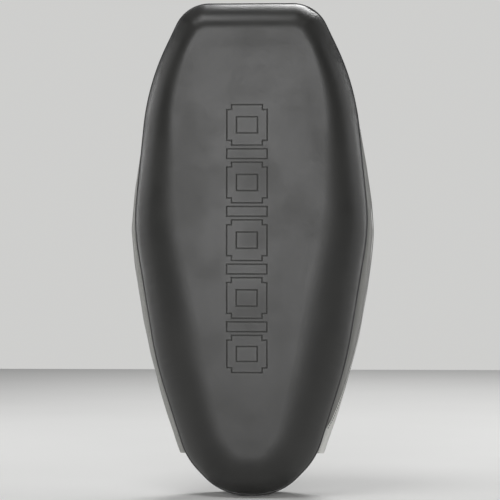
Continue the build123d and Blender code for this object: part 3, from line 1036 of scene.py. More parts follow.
def build_wing(name, side, top, bottom, rows, material, slot, node, capped):
    columns = 26
    points = wing_points(side, top, bottom, rows, columns)
    index = np.arange(len(points))
    sides = (index % columns == 0) | (index % columns == columns - 1)
    ends = (index < columns) | (index >= len(points) - columns)
    trial = add_piece(name + " trial", points, grid_faces(rows, columns), material)
    flip = trial.data.polygons[len(trial.data.polygons) // 2].normal.x * side < 0
    if flip:
        trial.data.flip_normals()
    moved = blow_up(trial, index[sides | ends], WING_PRESSURE, WING_FRAMES)
    points = points + limited(moved - points, WING_SWELL)
    bpy.data.objects.remove(trial)
    faces = grid_faces(rows, columns)
    if capped:
        # the square lower end: a turned edge, then a flat cap back to the boxing
        last = points[-columns:]
        place, _ = along_outline(share_at(last[:, 2], side))
        for drop, keep in CAP_ROWS:
            row = last.copy()
            row[:, 0] = place[:, 0] + (last[:, 0] - place[:, 0]) * keep
            row[:, 2] = last[:, 2] - drop * MM
            points = np.vstack([points, row])
        faces = grid_faces(rows + 3, columns)
    wing = add_piece(name, points, faces, material)
    if wing.data.polygons[len(faces) // 2].normal.x * side < 0:
        wing.data.flip_normals()
    return dress(wing, "pad", slot, node, fill=0.8)


def flat_height(z):
    return lambda depth: np.full_like(depth, z)


wing_top, wing_bottom = flat_height(wing_high.z), flat_height(wing_low.z)
build_wing("left wing", -1, wing_top, wing_bottom, 160, GREY_SKIN, "grey_leatherette", "side_pad_left", True)
build_wing(
    "right wing", 1, wing_top, rake_height, 120, GREY_SKIN, "grey_leatherette", "side_pad_right", False
)
build_wing(
    "right wing tail",
    1,
    rake_height,
    wing_bottom,
    90,
    PALE_SKIN,
    "pale_leatherette",
    "side_pad_right_tail",
    True,
)
print("wings stand", round(wing_reach(0.0) / MM, 1), "mm proud at mid height")

# %% [markdown]
# ## Stitches
# A lockstitch is a row of short slanted grains of thread, each a little sunk at its ends. A Geometry Nodes
# tree lays one grain at each even step along any line of points, so every seam on the pad uses the same
# tree with its own step, length and thread.


# %% Stitch tree
def tree_inputs(tree, inputs):
    tree.interface.new_socket("Geometry", in_out="INPUT", socket_type="NodeSocketGeometry")
    for label, kind, value in inputs:
        socket = tree.interface.new_socket(label, in_out="INPUT", socket_type=kind)
        if value is not None:
            socket.default_value = value
    tree.interface.new_socket("Geometry", in_out="OUTPUT", socket_type="NodeSocketGeometry")
    return tree.nodes.new("NodeGroupInput"), tree.nodes.new("NodeGroupOutput")


def stitch_tree():
    tree = bpy.data.node_groups.new("row of stitches", "GeometryNodeTree")
    given, made = tree_inputs(
        tree, [
            ("Step", FLOAT, 0.0042),
            ("Length", FLOAT, 0.0034),
            ("Thickness", FLOAT, 0.0009),
            ("Thread", "NodeSocketMaterial", None),
        ]
    )
    line = add_node(tree, "GeometryNodeMeshToCurve", {"Mesh": given.outputs["Geometry"]})
    even = add_node(
        tree,
        "GeometryNodeResampleCurve",
        {"Curve": line.outputs[0], "Length": given.outputs["Step"]},
        mode="LENGTH",
    )
    tangent = add_node(tree, "GeometryNodeInputTangent")
    turn = add_node(tree, "FunctionNodeAlignRotationToVector", {"Vector": tangent.outputs[0]}, axis="X")
    size = add_node(
        tree, "ShaderNodeCombineXYZ", {
            0: given.outputs["Length"], 1: given.outputs["Thickness"], 2: given.outputs["Thickness"]
        }
    )
    grain = add_node(tree, "GeometryNodeMeshUVSphere", {"Segments": 8, "Rings": 5, "Radius": 0.5})
    laid = add_node(
        tree, "GeometryNodeInstanceOnPoints",
        {
            "Points": even.outputs[0],
            "Instance": grain.outputs[0],
            "Rotation": turn.outputs[0],
            "Scale": size.outputs[0],
        },
    )
    real = add_node(tree, "GeometryNodeRealizeInstances", {0: laid.outputs[0]})
    smooth = add_node(tree, "GeometryNodeSetShadeSmooth", {0: real.outputs[0]})
    coloured = add_node(
        tree, "GeometryNodeSetMaterial", {0: smooth.outputs[0], "Material": given.outputs["Thread"]}
    )
    tree.links.new(coloured.outputs[0], made.inputs[0])
    return tree


STITCHES = stitch_tree()


def run_tree(name, piece, tree, values):
    """Runs a Geometry Nodes tree on the piece and gives back the plain mesh it makes, as a new piece."""
    modifier = piece.modifiers.new(tree.name, "NODES")
    modifier.node_group = tree
    for socket in tree.interface.items_tree:
        if socket.in_out == "INPUT" and socket.name in values:
            modifier[socket.identifier] = values[socket.name]
    bpy.context.view_layer.update()
    graph = bpy.context.evaluated_depsgraph_get()
    mesh = bpy.data.meshes.new_from_object(piece.evaluated_get(graph))
    mesh.name = name
    bpy.data.objects.remove(piece)
    made = bpy.data.objects.new(name, mesh)
    bpy.context.collection.objects.link(made)
    return made


def sew(name, lines, body, slot, thread=None, step=4.2, length=3.4, thickness=0.9):
    """Sews along lists of points. A closed line repeats its first point."""
    points, edges = [], []
    for line in lines:
        base = len(points)
        points += [tuple(p) for p in line]
        edges += [(base + i, base + i + 1) for i in range(len(line) - 1)]
    mesh = bpy.data.meshes.new(name + " line")
    mesh.from_pydata(points, edges, [])
    guide = bpy.data.objects.new(name + " line", mesh)
    bpy.context.collection.objects.link(guide)
    values = {
        "Step": step * MM, "Length": length * MM, "Thickness": thickness * MM, "Thread": thread or THREAD
    }
    row = run_tree(name, guide, STITCHES, values)
    return dress(row, body, slot)


def rake_line():
    depth = np.linspace(WING_BACK - 1 * MM, WING_FRONT + 1 * MM, 30)
    grid = wing_points(1, rake_height, wing_bottom, 2)[:26]
    y = grid[:, 1]
    return [(np.interp(d, y[::-1], grid[::-1, 0]) + 0.9 * MM, d, rake_height(d)) for d in depth]


for gap, word in ((2.4, "upper"), (-2.4, "lower")):
    line = [(x + 0.4 * MM, y, z + gap * MM) for x, y, z in rake_line()]
    sew(f"rake seam {word} stitches", [line], "pad", "grey_leatherette", GREY_THREAD, step=3.4, length=2.7)
print("stitches on the raked seam")

# %% [markdown]
# ## Back panel
# The back of the pad is a flat panel of heavier leatherette. It is drawn tight over the stiff sheet, with
# only a slow unevenness, and a row of stitches holds it all round, just inside the welt.


# %% Back panel
def outline_loop(inset, y, count=721):
    place, outward = along_outline(np.linspace(0, 1, count))
    xz = place - outward * inset
    return [(x, y, z) for x, z in xz]


def build_back(columns=420, rings=46):
    shares = np.arange(columns) / columns
    place, _ = along_outline(shares)
    rows = []
    for k in range(rings):
        shrink = 1 - k / rings
        xz = place * shrink
        sag = 0.35 * MM * (np.sin(xz[:, 0] * 31) * np.sin(xz[:, 1] * 23 + 1) - 0.6) * min(1, k / 4)
        tuck = -1.4 * MM * max(0, 1 - k / 2) ** 2
        rows.append(np.c_[xz[:, 0], sag + tuck, xz[:, 1]])
    points = np.vstack(rows + [np.array([[0, -0.2 * MM, 0]])])
    faces = grid_faces(rings, columns, closed=True)
    last = (rings - 1) * columns
    faces += [(last + i, last + (i + 1) % columns, len(points) - 1) for i in range(columns)]
    return points, faces


panel = add_piece("back panel", *build_back(), BACK_SKIN)
if panel.data.polygons[len(panel.data.polygons) // 2].normal.y < 0:
    panel.data.flip_normals()
dress(panel, "pad", "black_leatherette", "back_cover")
sew("back panel stitches", [outline_loop(8 * MM, 0.2 * MM)], "pad", "black_leatherette", step=4.6, length=3.6)
print("back panel and its edge stitches")

# %% [markdown]
# ## Patches
# Each handle foot stands on a patch of thicker skin with rounded corners, skived thin at its edge and sewn
# down with two rows of stitches. The patch spreads the pull of the handle over the panel.


# %% Patches
PATCH_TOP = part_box("grip_patches")[1].y
PATCH_LONG, PATCH_WIDE, PATCH_CORNER = 44 * MM, 34 * MM, 6 * MM
core_low, core_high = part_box("grip_right_core")
GRIP_X, GRIP_Z = (core_low.x + core_high.x) / 2, (core_low.z + core_high.z) / 2
patch_low, patch_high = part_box("grip_patches")
carry_patch_low, carry_patch_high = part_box("carry_patches")
CARRY_Z = (carry_patch_low.z + carry_patch_high.z) / 2


def rounded_rectangle(wide, high, corner, steps=8):
    """Points of a rounded rectangle about the origin, anticlockwise from the right side's low end."""
    points = []
    for turn, (sx, sz) in enumerate(((1, 1), (-1, 1), (-1, -1), (1, -1))):
        centre = np.array((sx * (wide / 2 - corner), sz * (high / 2 - corner)))
        for step in range(steps + 1):
            angle = (turn + step / steps) * pi / 2
            points.append(centre + corner * np.array((cos(angle), sin(angle))))
    return np.array(points)


def build_patch(x, z, wide, high):
    levels = [
        (0.0, 0.0), (0.0, 0.5), (0.35, 0.82), (1.1, 0.96), (2.6, 1.0), (3.4, 0.93), (4.2, 1.0), (9, 1.01)
    ]
    rows = []
    for inset, level in levels:
        loop = rounded_rectangle(
            wide - 2 * inset * MM, high - 2 * inset * MM, max(PATCH_CORNER - inset * MM, 1 * MM)
        )
        rows.append(np.c_[loop[:, 0] + x, np.full(len(loop), level * PATCH_TOP), loop[:, 1] + z])
    count = len(rows[0])
    points = np.vstack(rows)
    faces = grid_faces(len(rows), count, closed=True)
    faces.append(tuple((len(rows) - 1) * count + i for i in range(count)))
    return points, faces


def add_patches(name, places, wide, high, node):
    points, faces, rows = [], [], []
    for x, z in places:
        patch_points, patch_faces = build_patch(x, z, wide, high)
        base = sum(len(p) for p in points)
        points.append(patch_points)
        faces += [tuple(i + base for i in f) for f in patch_faces]
        for inset in (3.4 * MM, 6.4 * MM):
            loop = rounded_rectangle(wide - 2 * inset, high - 2 * inset, PATCH_CORNER - 2.5 * MM)
            closed = np.vstack([loop, loop[:1]])
            rows.append([(px + x, PATCH_TOP + 0.02 * MM, pz + z) for px, pz in closed])
    plates = add_piece(name, np.vstack(points), faces, PATCH_SKIN)
    turn_outwards(plates.data)
    dress(plates, "pad", "patch_leatherette", node)
    sew(name + " stitches", rows, "pad", "patch_leatherette", step=3.2, length=2.6, thickness=0.8)


patch_z = patch_high.z - PATCH_LONG / 2, patch_low.z + PATCH_LONG / 2
add_patches(
    "grip foot patches",
    [(s * GRIP_X, z) for s in (-1, 1) for z in patch_z],
    PATCH_WIDE,
    PATCH_LONG,
    "grip_patches",
)
carry_x = carry_patch_high.x - PATCH_LONG / 2
add_patches(
    "carry foot patches", [(s * carry_x, CARRY_Z) for s in (-1, 1)], PATCH_LONG, PATCH_WIDE, "carry_patches"
)
print("six patches, grips at x", round(GRIP_X / MM))

# %% [markdown]
# ## Rivets and eyelets
# These are turned parts: a profile spun round an axis. One of each is made, and a Geometry Nodes tree sets
# a copy on every point where the frame has one.


# %% Turned parts
def turned(name, profile, material, sides=24):
    """A profile of radius and height in mm, spun round the y axis, which points out of the back panel."""
    rows = []
    for radius, height in profile:
        turn = np.arange(sides) * 2 * pi / sides
        rows.append(
            np.c_[radius * MM * np.cos(turn), np.full(sides, height * MM), radius * MM * np.sin(turn)]
        )
    points = np.vstack(rows)
    faces = grid_faces(len(profile), sides, closed=True)
    faces += [tuple(range(sides)), tuple(range(len(points) - sides, len(points)))[::-1]]
    piece = add_piece(name, points, faces, material)
    turn_outwards(piece.data)
    return piece


def set_out_tree():
    tree = bpy.data.node_groups.new("set pieces out", "GeometryNodeTree")
    given, made = tree_inputs(
        tree, [("Piece", "NodeSocketObject", None), ("Finish", "NodeSocketMaterial", None)]
    )
    one = add_node(tree, "GeometryNodeObjectInfo", {"Object": given.outputs["Piece"], "As Instance": True})
    laid = add_node(
        tree, "GeometryNodeInstanceOnPoints", {
            "Points": given.outputs["Geometry"], "Instance": one.outputs["Geometry"]
        }
    )
    real = add_node(tree, "GeometryNodeRealizeInstances", {0: laid.outputs[0]})
    coloured = add_node(
        tree, "GeometryNodeSetMaterial", {0: real.outputs[0], "Material": given.outputs["Finish"]}
    )
    tree.links.new(coloured.outputs[0], made.inputs[0])
    return tree


SET_OUT = set_out_tree()


def set_out(name, one, places, material):
    """Copies of one piece at the places, as a single mesh."""
    mesh = bpy.data.meshes.new(name + " places")
    mesh.from_pydata([tuple(p) for p in places], [], [])
    guide = bpy.data.objects.new(name + " places", mesh)
    bpy.context.collection.objects.link(guide)
    made = run_tree(name, guide, SET_OUT, {"Piece": one, "Finish": material})
    bpy.data.objects.remove(one)
    return made


# %% Rivets and eyelets
rivet_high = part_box("rivets")[1]
RIVET_RADIUS = 4.5 * MM
RIVET_FROM_MIDDLE = 83 * MM
rivet_places = [(s * GRIP_X, PATCH_TOP, GRIP_Z + t * RIVET_FROM_MIDDLE) for s in (-1, 1) for t in (-1, 1)]
rivet_places += [(s * (rivet_high.x - RIVET_RADIUS), PATCH_TOP, CARRY_Z) for s in (-1, 1)]
HEAD = [(4.5, 0.0), (4.5, 0.5), (4.25, 0.95), (3.6, 1.4), (2.7, 1.75), (1.5, 1.95), (0.4, 2.0)]
rivet = turned("one rivet", HEAD, NICKEL)
dress(set_out("rivet heads", rivet, rivet_places, NICKEL), "pad", "nickel_steel", "rivets")

eyelet_low, eyelet_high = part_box("vent_eyelets")
eyelet_z, eyelet_x = (eyelet_low.z + eyelet_high.z) / 2, eyelet_high.x - 7 * MM
RIM = [
    (3.5, -1.6),
    (3.5, 0.3),
    (3.9, 0.85),
    (4.7, 1.0),
    (5.8, 0.85),
    (6.7, 0.4),
    (7.0, 0.0),
    (3.6, -0.4),
    (3.5, -1.6),
]
eyelet = turned("one eyelet", RIM, NICKEL, sides=36)
dress(
    set_out("eyelet rims", eyelet, [(s * eyelet_x, 0, eyelet_z) for s in (-1, 1)], NICKEL),
    "pad",
    "nickel_steel",
    "vent_eyelets",
)
# Inside each eyelet a dark cloth disc lies over the panel: painted shade for the open vent hole.
HOLE_SHADE_PROFILE = [(3.4, -0.5), (3.4, -0.2), (0.3, -0.15)]
hole = turned("one vent hole", HOLE_SHADE_PROFILE, FIRM_FOAM)
dress(
    set_out("vent gauze", hole, [(s * eyelet_x, 0.6 * MM, eyelet_z) for s in (-1, 1)], ZIP_CLOTH),
    "pad",
    "zip_tape",
)
print(len(rivet_places), "rivets, 2 eyelets")

# %% [markdown]
# ## Forearm straps
# Each strap is a wide webbing that arches over the forearm. Its left end is sewn flat to the panel. At the
# right it passes through a wire ring and folds back on itself, where hooks and loops hold it. A soft lining
# lies under the arch, channelled by rows of stitches so that it bends.

# %% Strap measures
STRAP_HALF_SPAN, STRAP_RISE, STRAP_THICK, STRAP_TAB = 78 * MM, 44 * MM, 3 * MM, 26 * MM
# what each layer of a strap measures through
BAND_THICK, CUSHION_THICK = 2.6 * MM, 6 * MM
TAIL_THICK, ANCHOR_THICK, PILE_THICK = 2.0 * MM, 1.4 * MM, 0.45 * MM
# how far apart the strap's stitches start, and how long each shows, in mm
STRAP_STITCH = {"step": 3.2, "length": 2.6}
ARC_RADIUS = (STRAP_HALF_SPAN**2 + STRAP_RISE**2) / (2 * STRAP_RISE)
ARC_CENTRE_Y = STRAP_THICK / 2 + STRAP_RISE - ARC_RADIUS
ARC_HALF = degrees(asin(STRAP_HALF_SPAN / ARC_RADIUS))
RING_FAR_ARC, RING_NEAR_ARC, RING_WIRE = 12.0, 1.8, 2 * MM
STRAP_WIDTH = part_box("upper_strap_webbing")[1].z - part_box("upper_strap_webbing")[0].z
STRAP_HEIGHTS = {
    name: (
        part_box(f"{name}_strap_webbing")[0].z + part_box(f"{name}_strap_webbing")[1].z
    ) / 2 for name in ("upper", "lower")
}


def arch_point(degrees_round, radius=ARC_RADIUS):
    """A point of the arch at this angle from the right, as x, y."""
    angle = radians(degrees_round)
    return np.array((radius * cos(angle), ARC_CENTRE_Y + radius * sin(angle)))


RING_FAR, RING_NEAR = arch_point(90 - ARC_HALF + RING_FAR_ARC), arch_point(90 - ARC_HALF + RING_NEAR_ARC)
print(
    "arch",
    round(ARC_RADIUS / MM, 1),
    "mm in radius; ring bars at",
    (RING_FAR / MM).round(1),
    (RING_NEAR / MM).round(1),
)


# %% Ribbon helper
def even_path(points, spacing):
    points = np.array(points)
    run = np.r_[0, np.cumsum(np.linalg.norm(np.diff(points, axis=0), axis=1))]
    even = np.linspace(0, run[-1], max(2, int(run[-1] / spacing)))
    return np.c_[[np.interp(even, run, points[:, i]) for i in range(points.shape[1])]].T, even


def ribbon(name, path, middle_z, width, thickness, material, ridge=None, spacing=1.5 * MM, across=15):
    """A flat band along a path of x, y points, with rounded edges and a map in metres for its weave.
    ridge gives extra thickness on the outer side at each place along and across it."""
    line, run = even_path(path, spacing)
    ahead = np.gradient(line, axis=0)
    ahead /= np.linalg.norm(ahead, axis=1)[:, None]
    side = np.c_[-ahead[:, 1], ahead[:, 0]]
    over = np.linspace(-1, 1, across)
    edge = np.sqrt(np.clip(1 - np.abs(over) ** 8, 0, 1)) * 0.88 + 0.12
    loop_z = np.r_[over, over[::-1]] * width / 2
    loop_off = np.r_[edge, -edge[::-1]] * thickness / 2
    count = len(loop_z)
    rows, maps = [], []
    for i, (place, normal) in enumerate(zip(line, side)):
        end = min(i, len(line) - 1 - i)
        off = loop_off * min(1, 0.35 + 0.33 * end)
        if ridge is not None:
            off[:across] += ridge(run[i] / run[-1], over)
        rows.append(np.c_[place[0] + normal[0] * off, place[1] + normal[1] * off, middle_z + loop_z])
        maps.append(np.c_[loop_z, np.full(count, run[i])])
    points, places = np.vstack(rows), np.vstack(maps)
    faces = grid_faces(len(line), count, closed=True)
    faces += [tuple(range(count)), tuple(range(len(points) - count, len(points)))[::-1]]
    piece = add_piece(name, points, faces, material)
    layer = piece.data.uv_layers.new(name="weave")
    spots = np.zeros(len(piece.data.loops), int)
    piece.data.loops.foreach_get("vertex_index", spots)
    layer.data.foreach_set("uv", places[spots].ravel())
    flip_if_inside_out(piece)
    return piece


def flip_if_inside_out(piece):
    """Turns every face over if the closed piece has a negative volume."""
    mesh = piece.data
    volume = 0.0
    points = np.array([v.co for v in mesh.vertices])
    middle = points.mean(0)
    for face in mesh.polygons:
        ring = points[list(face.vertices)] - middle
        for k in range(1, len(ring) - 1):
            volume += np.dot(ring[0], np.cross(ring[k], ring[k + 1]))
    if volume < 0:
        mesh.flip_normals()


# %% Straps
def arch_path(start, end, radius, steps=90):
    return [arch_point(a, radius) for a in np.linspace(start, end, steps)]


STOP = 90 - ARC_HALF + RING_FAR_ARC + degrees((RING_WIRE + 0.15 * MM) / ARC_RADIUS)


def loop_round(centre, radius, start, end, steps=24):
    return [
        centre + radius * np.array((cos(radians(a)), sin(radians(a)))) for a in np.linspace(start, end, steps)
    ]


def box_of_stitches(x0, x1, z0, z1, y):
    """A sewn box with a cross in it, as a strap's end has."""
    box_line = [(x0, y, z0), (x1, y, z0), (x1, y, z1), (x0, y, z1), (x0, y, z0)]
    return [box_line, [(x0, y, z0), (x1, y, z1)], [(x0, y, z1), (x1, y, z0)]]


for name, z in STRAP_HEIGHTS.items():
    foot = [(-STRAP_HALF_SPAN - STRAP_TAB - 1 * MM, 1.5 * MM), (-STRAP_HALF_SPAN - 3 * MM, 1.5 * MM)]
    arch = arch_path(90 + ARC_HALF - 2, STOP, ARC_RADIUS)
    webbing = ribbon(f"{name} strap band", foot + arch, z, STRAP_WIDTH, BAND_THICK, WEBBING)
    dress(webbing, "pad", "black_webbing", f"{name}_strap_webbing")
    x0, x1 = -STRAP_HALF_SPAN - STRAP_TAB + 4 * MM, -STRAP_HALF_SPAN - 4 * MM
    half = STRAP_WIDTH / 2 - 5 * MM
    sewn_box = box_of_stitches(x0, x1, z - half, z + half, 2.9 * MM)
    sew(f"{name} strap end stitches", sewn_box, "pad", "black_webbing", GREY_THREAD, **STRAP_STITCH)

    # the lining: a soft strip with a cushioned face between its channels
    def channels(along, over):
        puff = np.abs(np.sin(pi * 5 * along)) ** 0.55
        edge = np.clip(1 - np.abs(over) ** 5, 0, 1) ** 0.5
        return 1.6 * MM * (puff * edge - 0.9)

    lining_radius = ARC_RADIUS - STRAP_THICK / 2 - 0.15 * MM - 3.5 * MM
    path = arch_path(90 - 33, 90 + 33, lining_radius)
    lining_width = STRAP_WIDTH + 2 * MM
    lining = ribbon(f"{name} strap cushion", path, z, lining_width, CUSHION_THICK, LINING_CLOTH, channels)
    dress(lining, "pad", "strap_lining", f"{name}_strap_lining", fill=0.6)

    # the anchor: webbing doubled round the near bar of the ring and sewn flat
    wrap = 2.15 * MM + 0.8 * MM
    tab_end = STRAP_HALF_SPAN + STRAP_TAB
    path = [(tab_end, 0.8 * MM), (STRAP_HALF_SPAN + 2 * MM, 0.8 * MM)]
    path += loop_round(RING_NEAR, wrap, -90, -330) + [
        (STRAP_HALF_SPAN + 7 * MM, 2.4 * MM), (tab_end, 2.4 * MM)
    ]
    anchor = ribbon(f"{name} ring anchor", path, z, STRAP_WIDTH, ANCHOR_THICK, WEBBING, spacing=0.8 * MM)
    dress(anchor, "pad", "black_webbing", f"{name}_strap_anchor")
    sewn_box = box_of_stitches(STRAP_HALF_SPAN + 9 * MM, tab_end - 3 * MM, z - half, z + half, 3.2 * MM)
    sew(f"{name} anchor stitches", sewn_box, "pad", "black_webbing", GREY_THREAD, **STRAP_STITCH)

    # the tail: it turns round the ring's far bar and lies back along the arch
    tail_radius = ARC_RADIUS + STRAP_THICK / 2 + 0.3 * MM + 1.2 * MM
    tail_start = STOP + degrees(RING_WIRE / ARC_RADIUS)
    path = loop_round(RING_FAR, 3.5 * MM, 215, 60, 20) + arch_path(
        tail_start + 2, tail_start + 50, tail_radius, 60
    )
    tail = ribbon(f"{name} folded tail", path, z, STRAP_WIDTH - 2 * MM, TAIL_THICK, WEBBING)
    dress(tail, f"{name}_tail", "hook_and_loop", f"{name}_strap_tail")

    # hooks under the tail, and a longer bed of loops on the strap below them
    beds = (
        ("loop bed", 2, 58, ARC_RADIUS + 1.45 * MM, "pad"),
        ("hook pad", 20, 49, tail_radius - 1.15 * MM, f"{name}_tail"),
    )
    for word, first, last, radius, body in beds:
        path = arch_path(tail_start + first, tail_start + last, radius, 60)
        bed = ribbon(f"{name} strap {word}", path, z, STRAP_WIDTH - 6 * MM, PILE_THICK, HOOK_PILE)
        dress(bed, body, "hook_and_loop")
    a0, a1 = tail_start + 22, tail_start + 48
    rim = tail_radius + 1.1 * MM
    edge_lines = []
    for dz in (-half - 2 * MM, half + 2 * MM):
        edge_lines.append([(*arch_point(a, rim), z + dz) for a in np.linspace(a0, a1, 40)])
    for a in (a0, a1):
        edge_lines.append(
            [(*arch_point(a, rim), z + dz) for dz in np.linspace(-half - 2 * MM, half + 2 * MM, 20)]
        )
    sew(
        f"{name} tail stitches",
        edge_lines,
        f"{name}_tail",
        "hook_and_loop",
        GREY_THREAD,
        **STRAP_STITCH,
    )
print("straps at heights", {k: round(v / MM) for k, v in STRAP_HEIGHTS.items()})

# %% [markdown]
# ## Wire rings
# A strap ring is bent from one length of plated wire, with round corners and a weld in its short side.
# It is a tube along a closed path that lies in the slanted plane between its two bars.


# %% Rings
def tube(name, path, radius, material, sides=16, closed=False, swell=None):
    """A round tube along 3-D points, with the cross section carried along without twisting."""
    path = np.array(path)
    count = len(path)
    if closed:
        ahead = np.roll(path, -1, axis=0) - np.roll(path, 1, axis=0)
    else:
        ahead = np.gradient(path, axis=0)
    ahead /= np.linalg.norm(ahead, axis=1)[:, None]
    across = np.cross(ahead[0], (0.3, 0.9, 0.1))
    rows = []
    for i in range(count):
        across = across - ahead[i] * (across @ ahead[i])
        across /= np.linalg.norm(across)
        up = np.cross(ahead[i], across)
        turn = np.arange(sides) * 2 * pi / sides
        size = radius * (swell(i / (count - 1), turn) if swell else np.ones(sides))
        rows.append(path[i] + size[:, None] * (np.cos(turn)[:, None] * across + np.sin(turn)[:, None] * up))
    points = np.vstack(rows + ([rows[0]] if closed else []))
    faces = grid_faces(count + closed, sides, closed=True)
    if not closed:
        faces += [tuple(range(sides)), tuple(range(len(points) - sides, len(points)))[::-1]]
    piece = add_piece(name, points, faces, material)
    turn_outwards(piece.data)
    return piece


ring_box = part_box("upper_strap_ring")
RING_HALF_WIDTH = (ring_box[1].z - ring_box[0].z) / 2
for name, z in STRAP_HEIGHTS.items():
    middle, reach = (RING_FAR + RING_NEAR) / 2, RING_FAR - RING_NEAR
    long_half, short_half = RING_HALF_WIDTH - RING_WIRE, np.linalg.norm(reach) / 2
    loop = rounded_rectangle(2 * short_half, 2 * long_half, 3.5 * MM, steps=10)
    along = reach / np.linalg.norm(reach)
    path = [(middle[0] + a * along[0], middle[1] + a * along[1], z + b) for a, b in loop]
    ring = tube(f"{name} wire ring", path, RING_WIRE, NICKEL, closed=True)
    dress(ring, "pad", "nickel_steel", f"{name}_strap_ring")
print("rings", round(2 * RING_HALF_WIDTH / MM), "mm wide")

# %% [markdown]
# ## Rolled handles
# A handle is a rope core rolled in leatherette and closed with a seam along its inner side. Its middle
# carries a fatter padded sleeve with a bound edge at each end. The handles swing flat, because each foot
# turns in a narrow sewn keeper.

# %% Handle measures
CORE_RADIUS, SLEEVE_RADIUS, BEND_RADIUS, GRIP_REACH, LEG_LEAN = 6 * MM, 13 * MM, 18 * MM, 38 * MM, 10 * MM
FOOT_HEIGHT = PATCH_TOP + 0.3 * MM + CORE_RADIUS
BARREL = 18 * MM
WORDS = {-1: "first", 1: "second"}
HANDLES = {
    "grip_left": (Vector((-GRIP_X, 0, GRIP_Z)), Vector((0, 0, 1)), 68 * MM),
    "grip_right": (Vector((GRIP_X, 0, GRIP_Z)), Vector((0, 0, 1)), 68 * MM),
    "carry": (Vector((0, 0, CARRY_Z)), Vector((1, 0, 0)), 52 * MM),
}
BODIES = {"grip_left": "grip_left", "grip_right": "grip_right", "carry": "carry_handle"}


def rounded_path(corners, radius, steps=12):
    """A path through corners, each rounded by an arc."""
    path = [np.array(corners[0])]
    for before, here, after in zip(corners, corners[1:], corners[2:]):
        a, b, c = (np.array(p, float) for p in (before, here, after))
        u, v = (a - b) / np.linalg.norm(a - b), (c - b) / np.linalg.norm(c - b)
        half_turn = (pi - np.arccos(u @ v)) / 2
        middle = (u + v) / np.linalg.norm(u + v)
        centre = b + middle * radius / cos(half_turn)
        start, end = b + u * radius * tan(half_turn) - centre, b + v * radius * tan(half_turn) - centre
        for share in np.linspace(0, 1, steps):
            arm = start * (1 - share) + end * share
            path.append(centre + arm / np.linalg.norm(arm) * radius)
    path.append(np.array(corners[-1]))
    return path


# %% Build the handles
def sleeve_shape(length, rows=110, sides=44):
    """A padded sleeve about the origin along its own first axis: fat middle, drawn in at two bound ends."""
    run = np.linspace(-1, 1, rows)
    body = 1 - 0.10 * np.abs(run) ** 2.2
    ends = np.clip((1 - np.abs(run)) * length / 2 / (5 * MM), 0, 1)
    body = body * (0.72 + 0.28 * np.sqrt(1 - (1 - ends) ** 2))
    turn = np.arange(sides) * 2 * pi / sides
    grid = []
    for s, size in zip(run, body):
        seam = -1.1 * MM * np.exp(-((np.minimum(turn, 2 * pi - turn)) / 0.10) ** 2)
        puckers = 0.35 * MM * np.sin(s * 60) * np.exp(-((np.minimum(turn, 2 * pi - turn)) / 0.5) ** 2)
        grid.append(SLEEVE_RADIUS * 0.97 * size + seam + puckers)
    return run * length / 2, turn, np.array(grid)


SLEEVE_PRESSURE, SLEEVE_FRAMES, SLEEVE_SWELL = 5.0, 10, 0.9 * MM


def build_sleeve(name, centre, along, length, body, node):
    place, turn, size = sleeve_shape(length)
    inward = Vector((0, -1, 0))
    side = along.cross(inward)
    a, i, s = (np.array(v) for v in (along, inward, side))
    middle = np.array(centre) + np.array((0, GRIP_REACH, 0))
    rows = [
        middle + a * p + (np.cos(turn)[:, None] * i + np.sin(turn)[:, None] * s) * r[:, None]
        for p, r in zip(place, size)
    ]
    lip = [
        middle + a * p + (np.cos(turn)[:, None] * i + np.sin(turn)[:, None] * s) * CORE_RADIUS * 1.02
        for p in (place[0], place[-1])
    ]
    points = np.vstack([lip[0], *rows, lip[1]])
    sides = len(turn)
    trial = add_piece(name + " trial", points, grid_faces(len(rows) + 2, sides, closed=True), GRIP_SKIN)
    turn_outwards(trial.data)
    edges = [*range(2 * sides), *range(len(points) - 2 * sides, len(points))]
    moved = blow_up(trial, edges, SLEEVE_PRESSURE, SLEEVE_FRAMES)
    points = points + limited(moved - points, SLEEVE_SWELL)
    bpy.data.objects.remove(trial)
    sleeve = add_piece(name, points, grid_faces(len(rows) + 2, sides, closed=True), GRIP_SKIN)
    turn_outwards(sleeve.data)
    dress(sleeve, body, "grip_leatherette", node, fill=0.8)
    for end in (-1, 1):
        at = middle + a * end * (length / 2 - 5.5 * MM)
        turn_fine = np.linspace(0, 2 * pi, 61)
        reach = SLEEVE_RADIUS * 0.885
        ring = [at + (cos(t) * i + sin(t) * s) * reach for t in turn_fine]
        # The bindings take the same darkened vinyl, painted seam shade included.
        binding = tube(
            f"{name} binding {'upper' if end > 0 else 'lower'}",
            ring[:-1],
            1.5 * MM,
            PIPING_SKIN_WITH_SEAM_SHADE,
            closed=True,
            sides=10,
        )
        dress(binding, body, "piping_vinyl")
    seam = [middle + a * p + i * (r[0] + 0.35 * MM) for p, r in zip(place[8:-8], size[8:-8])]
    rows = [[p + s * shift for p in seam] for shift in (-1.6 * MM, 1.6 * MM)]
    sew(f"{name} seam stitches", rows, body, "grip_leatherette", step=3.6, length=2.8, thickness=0.8)


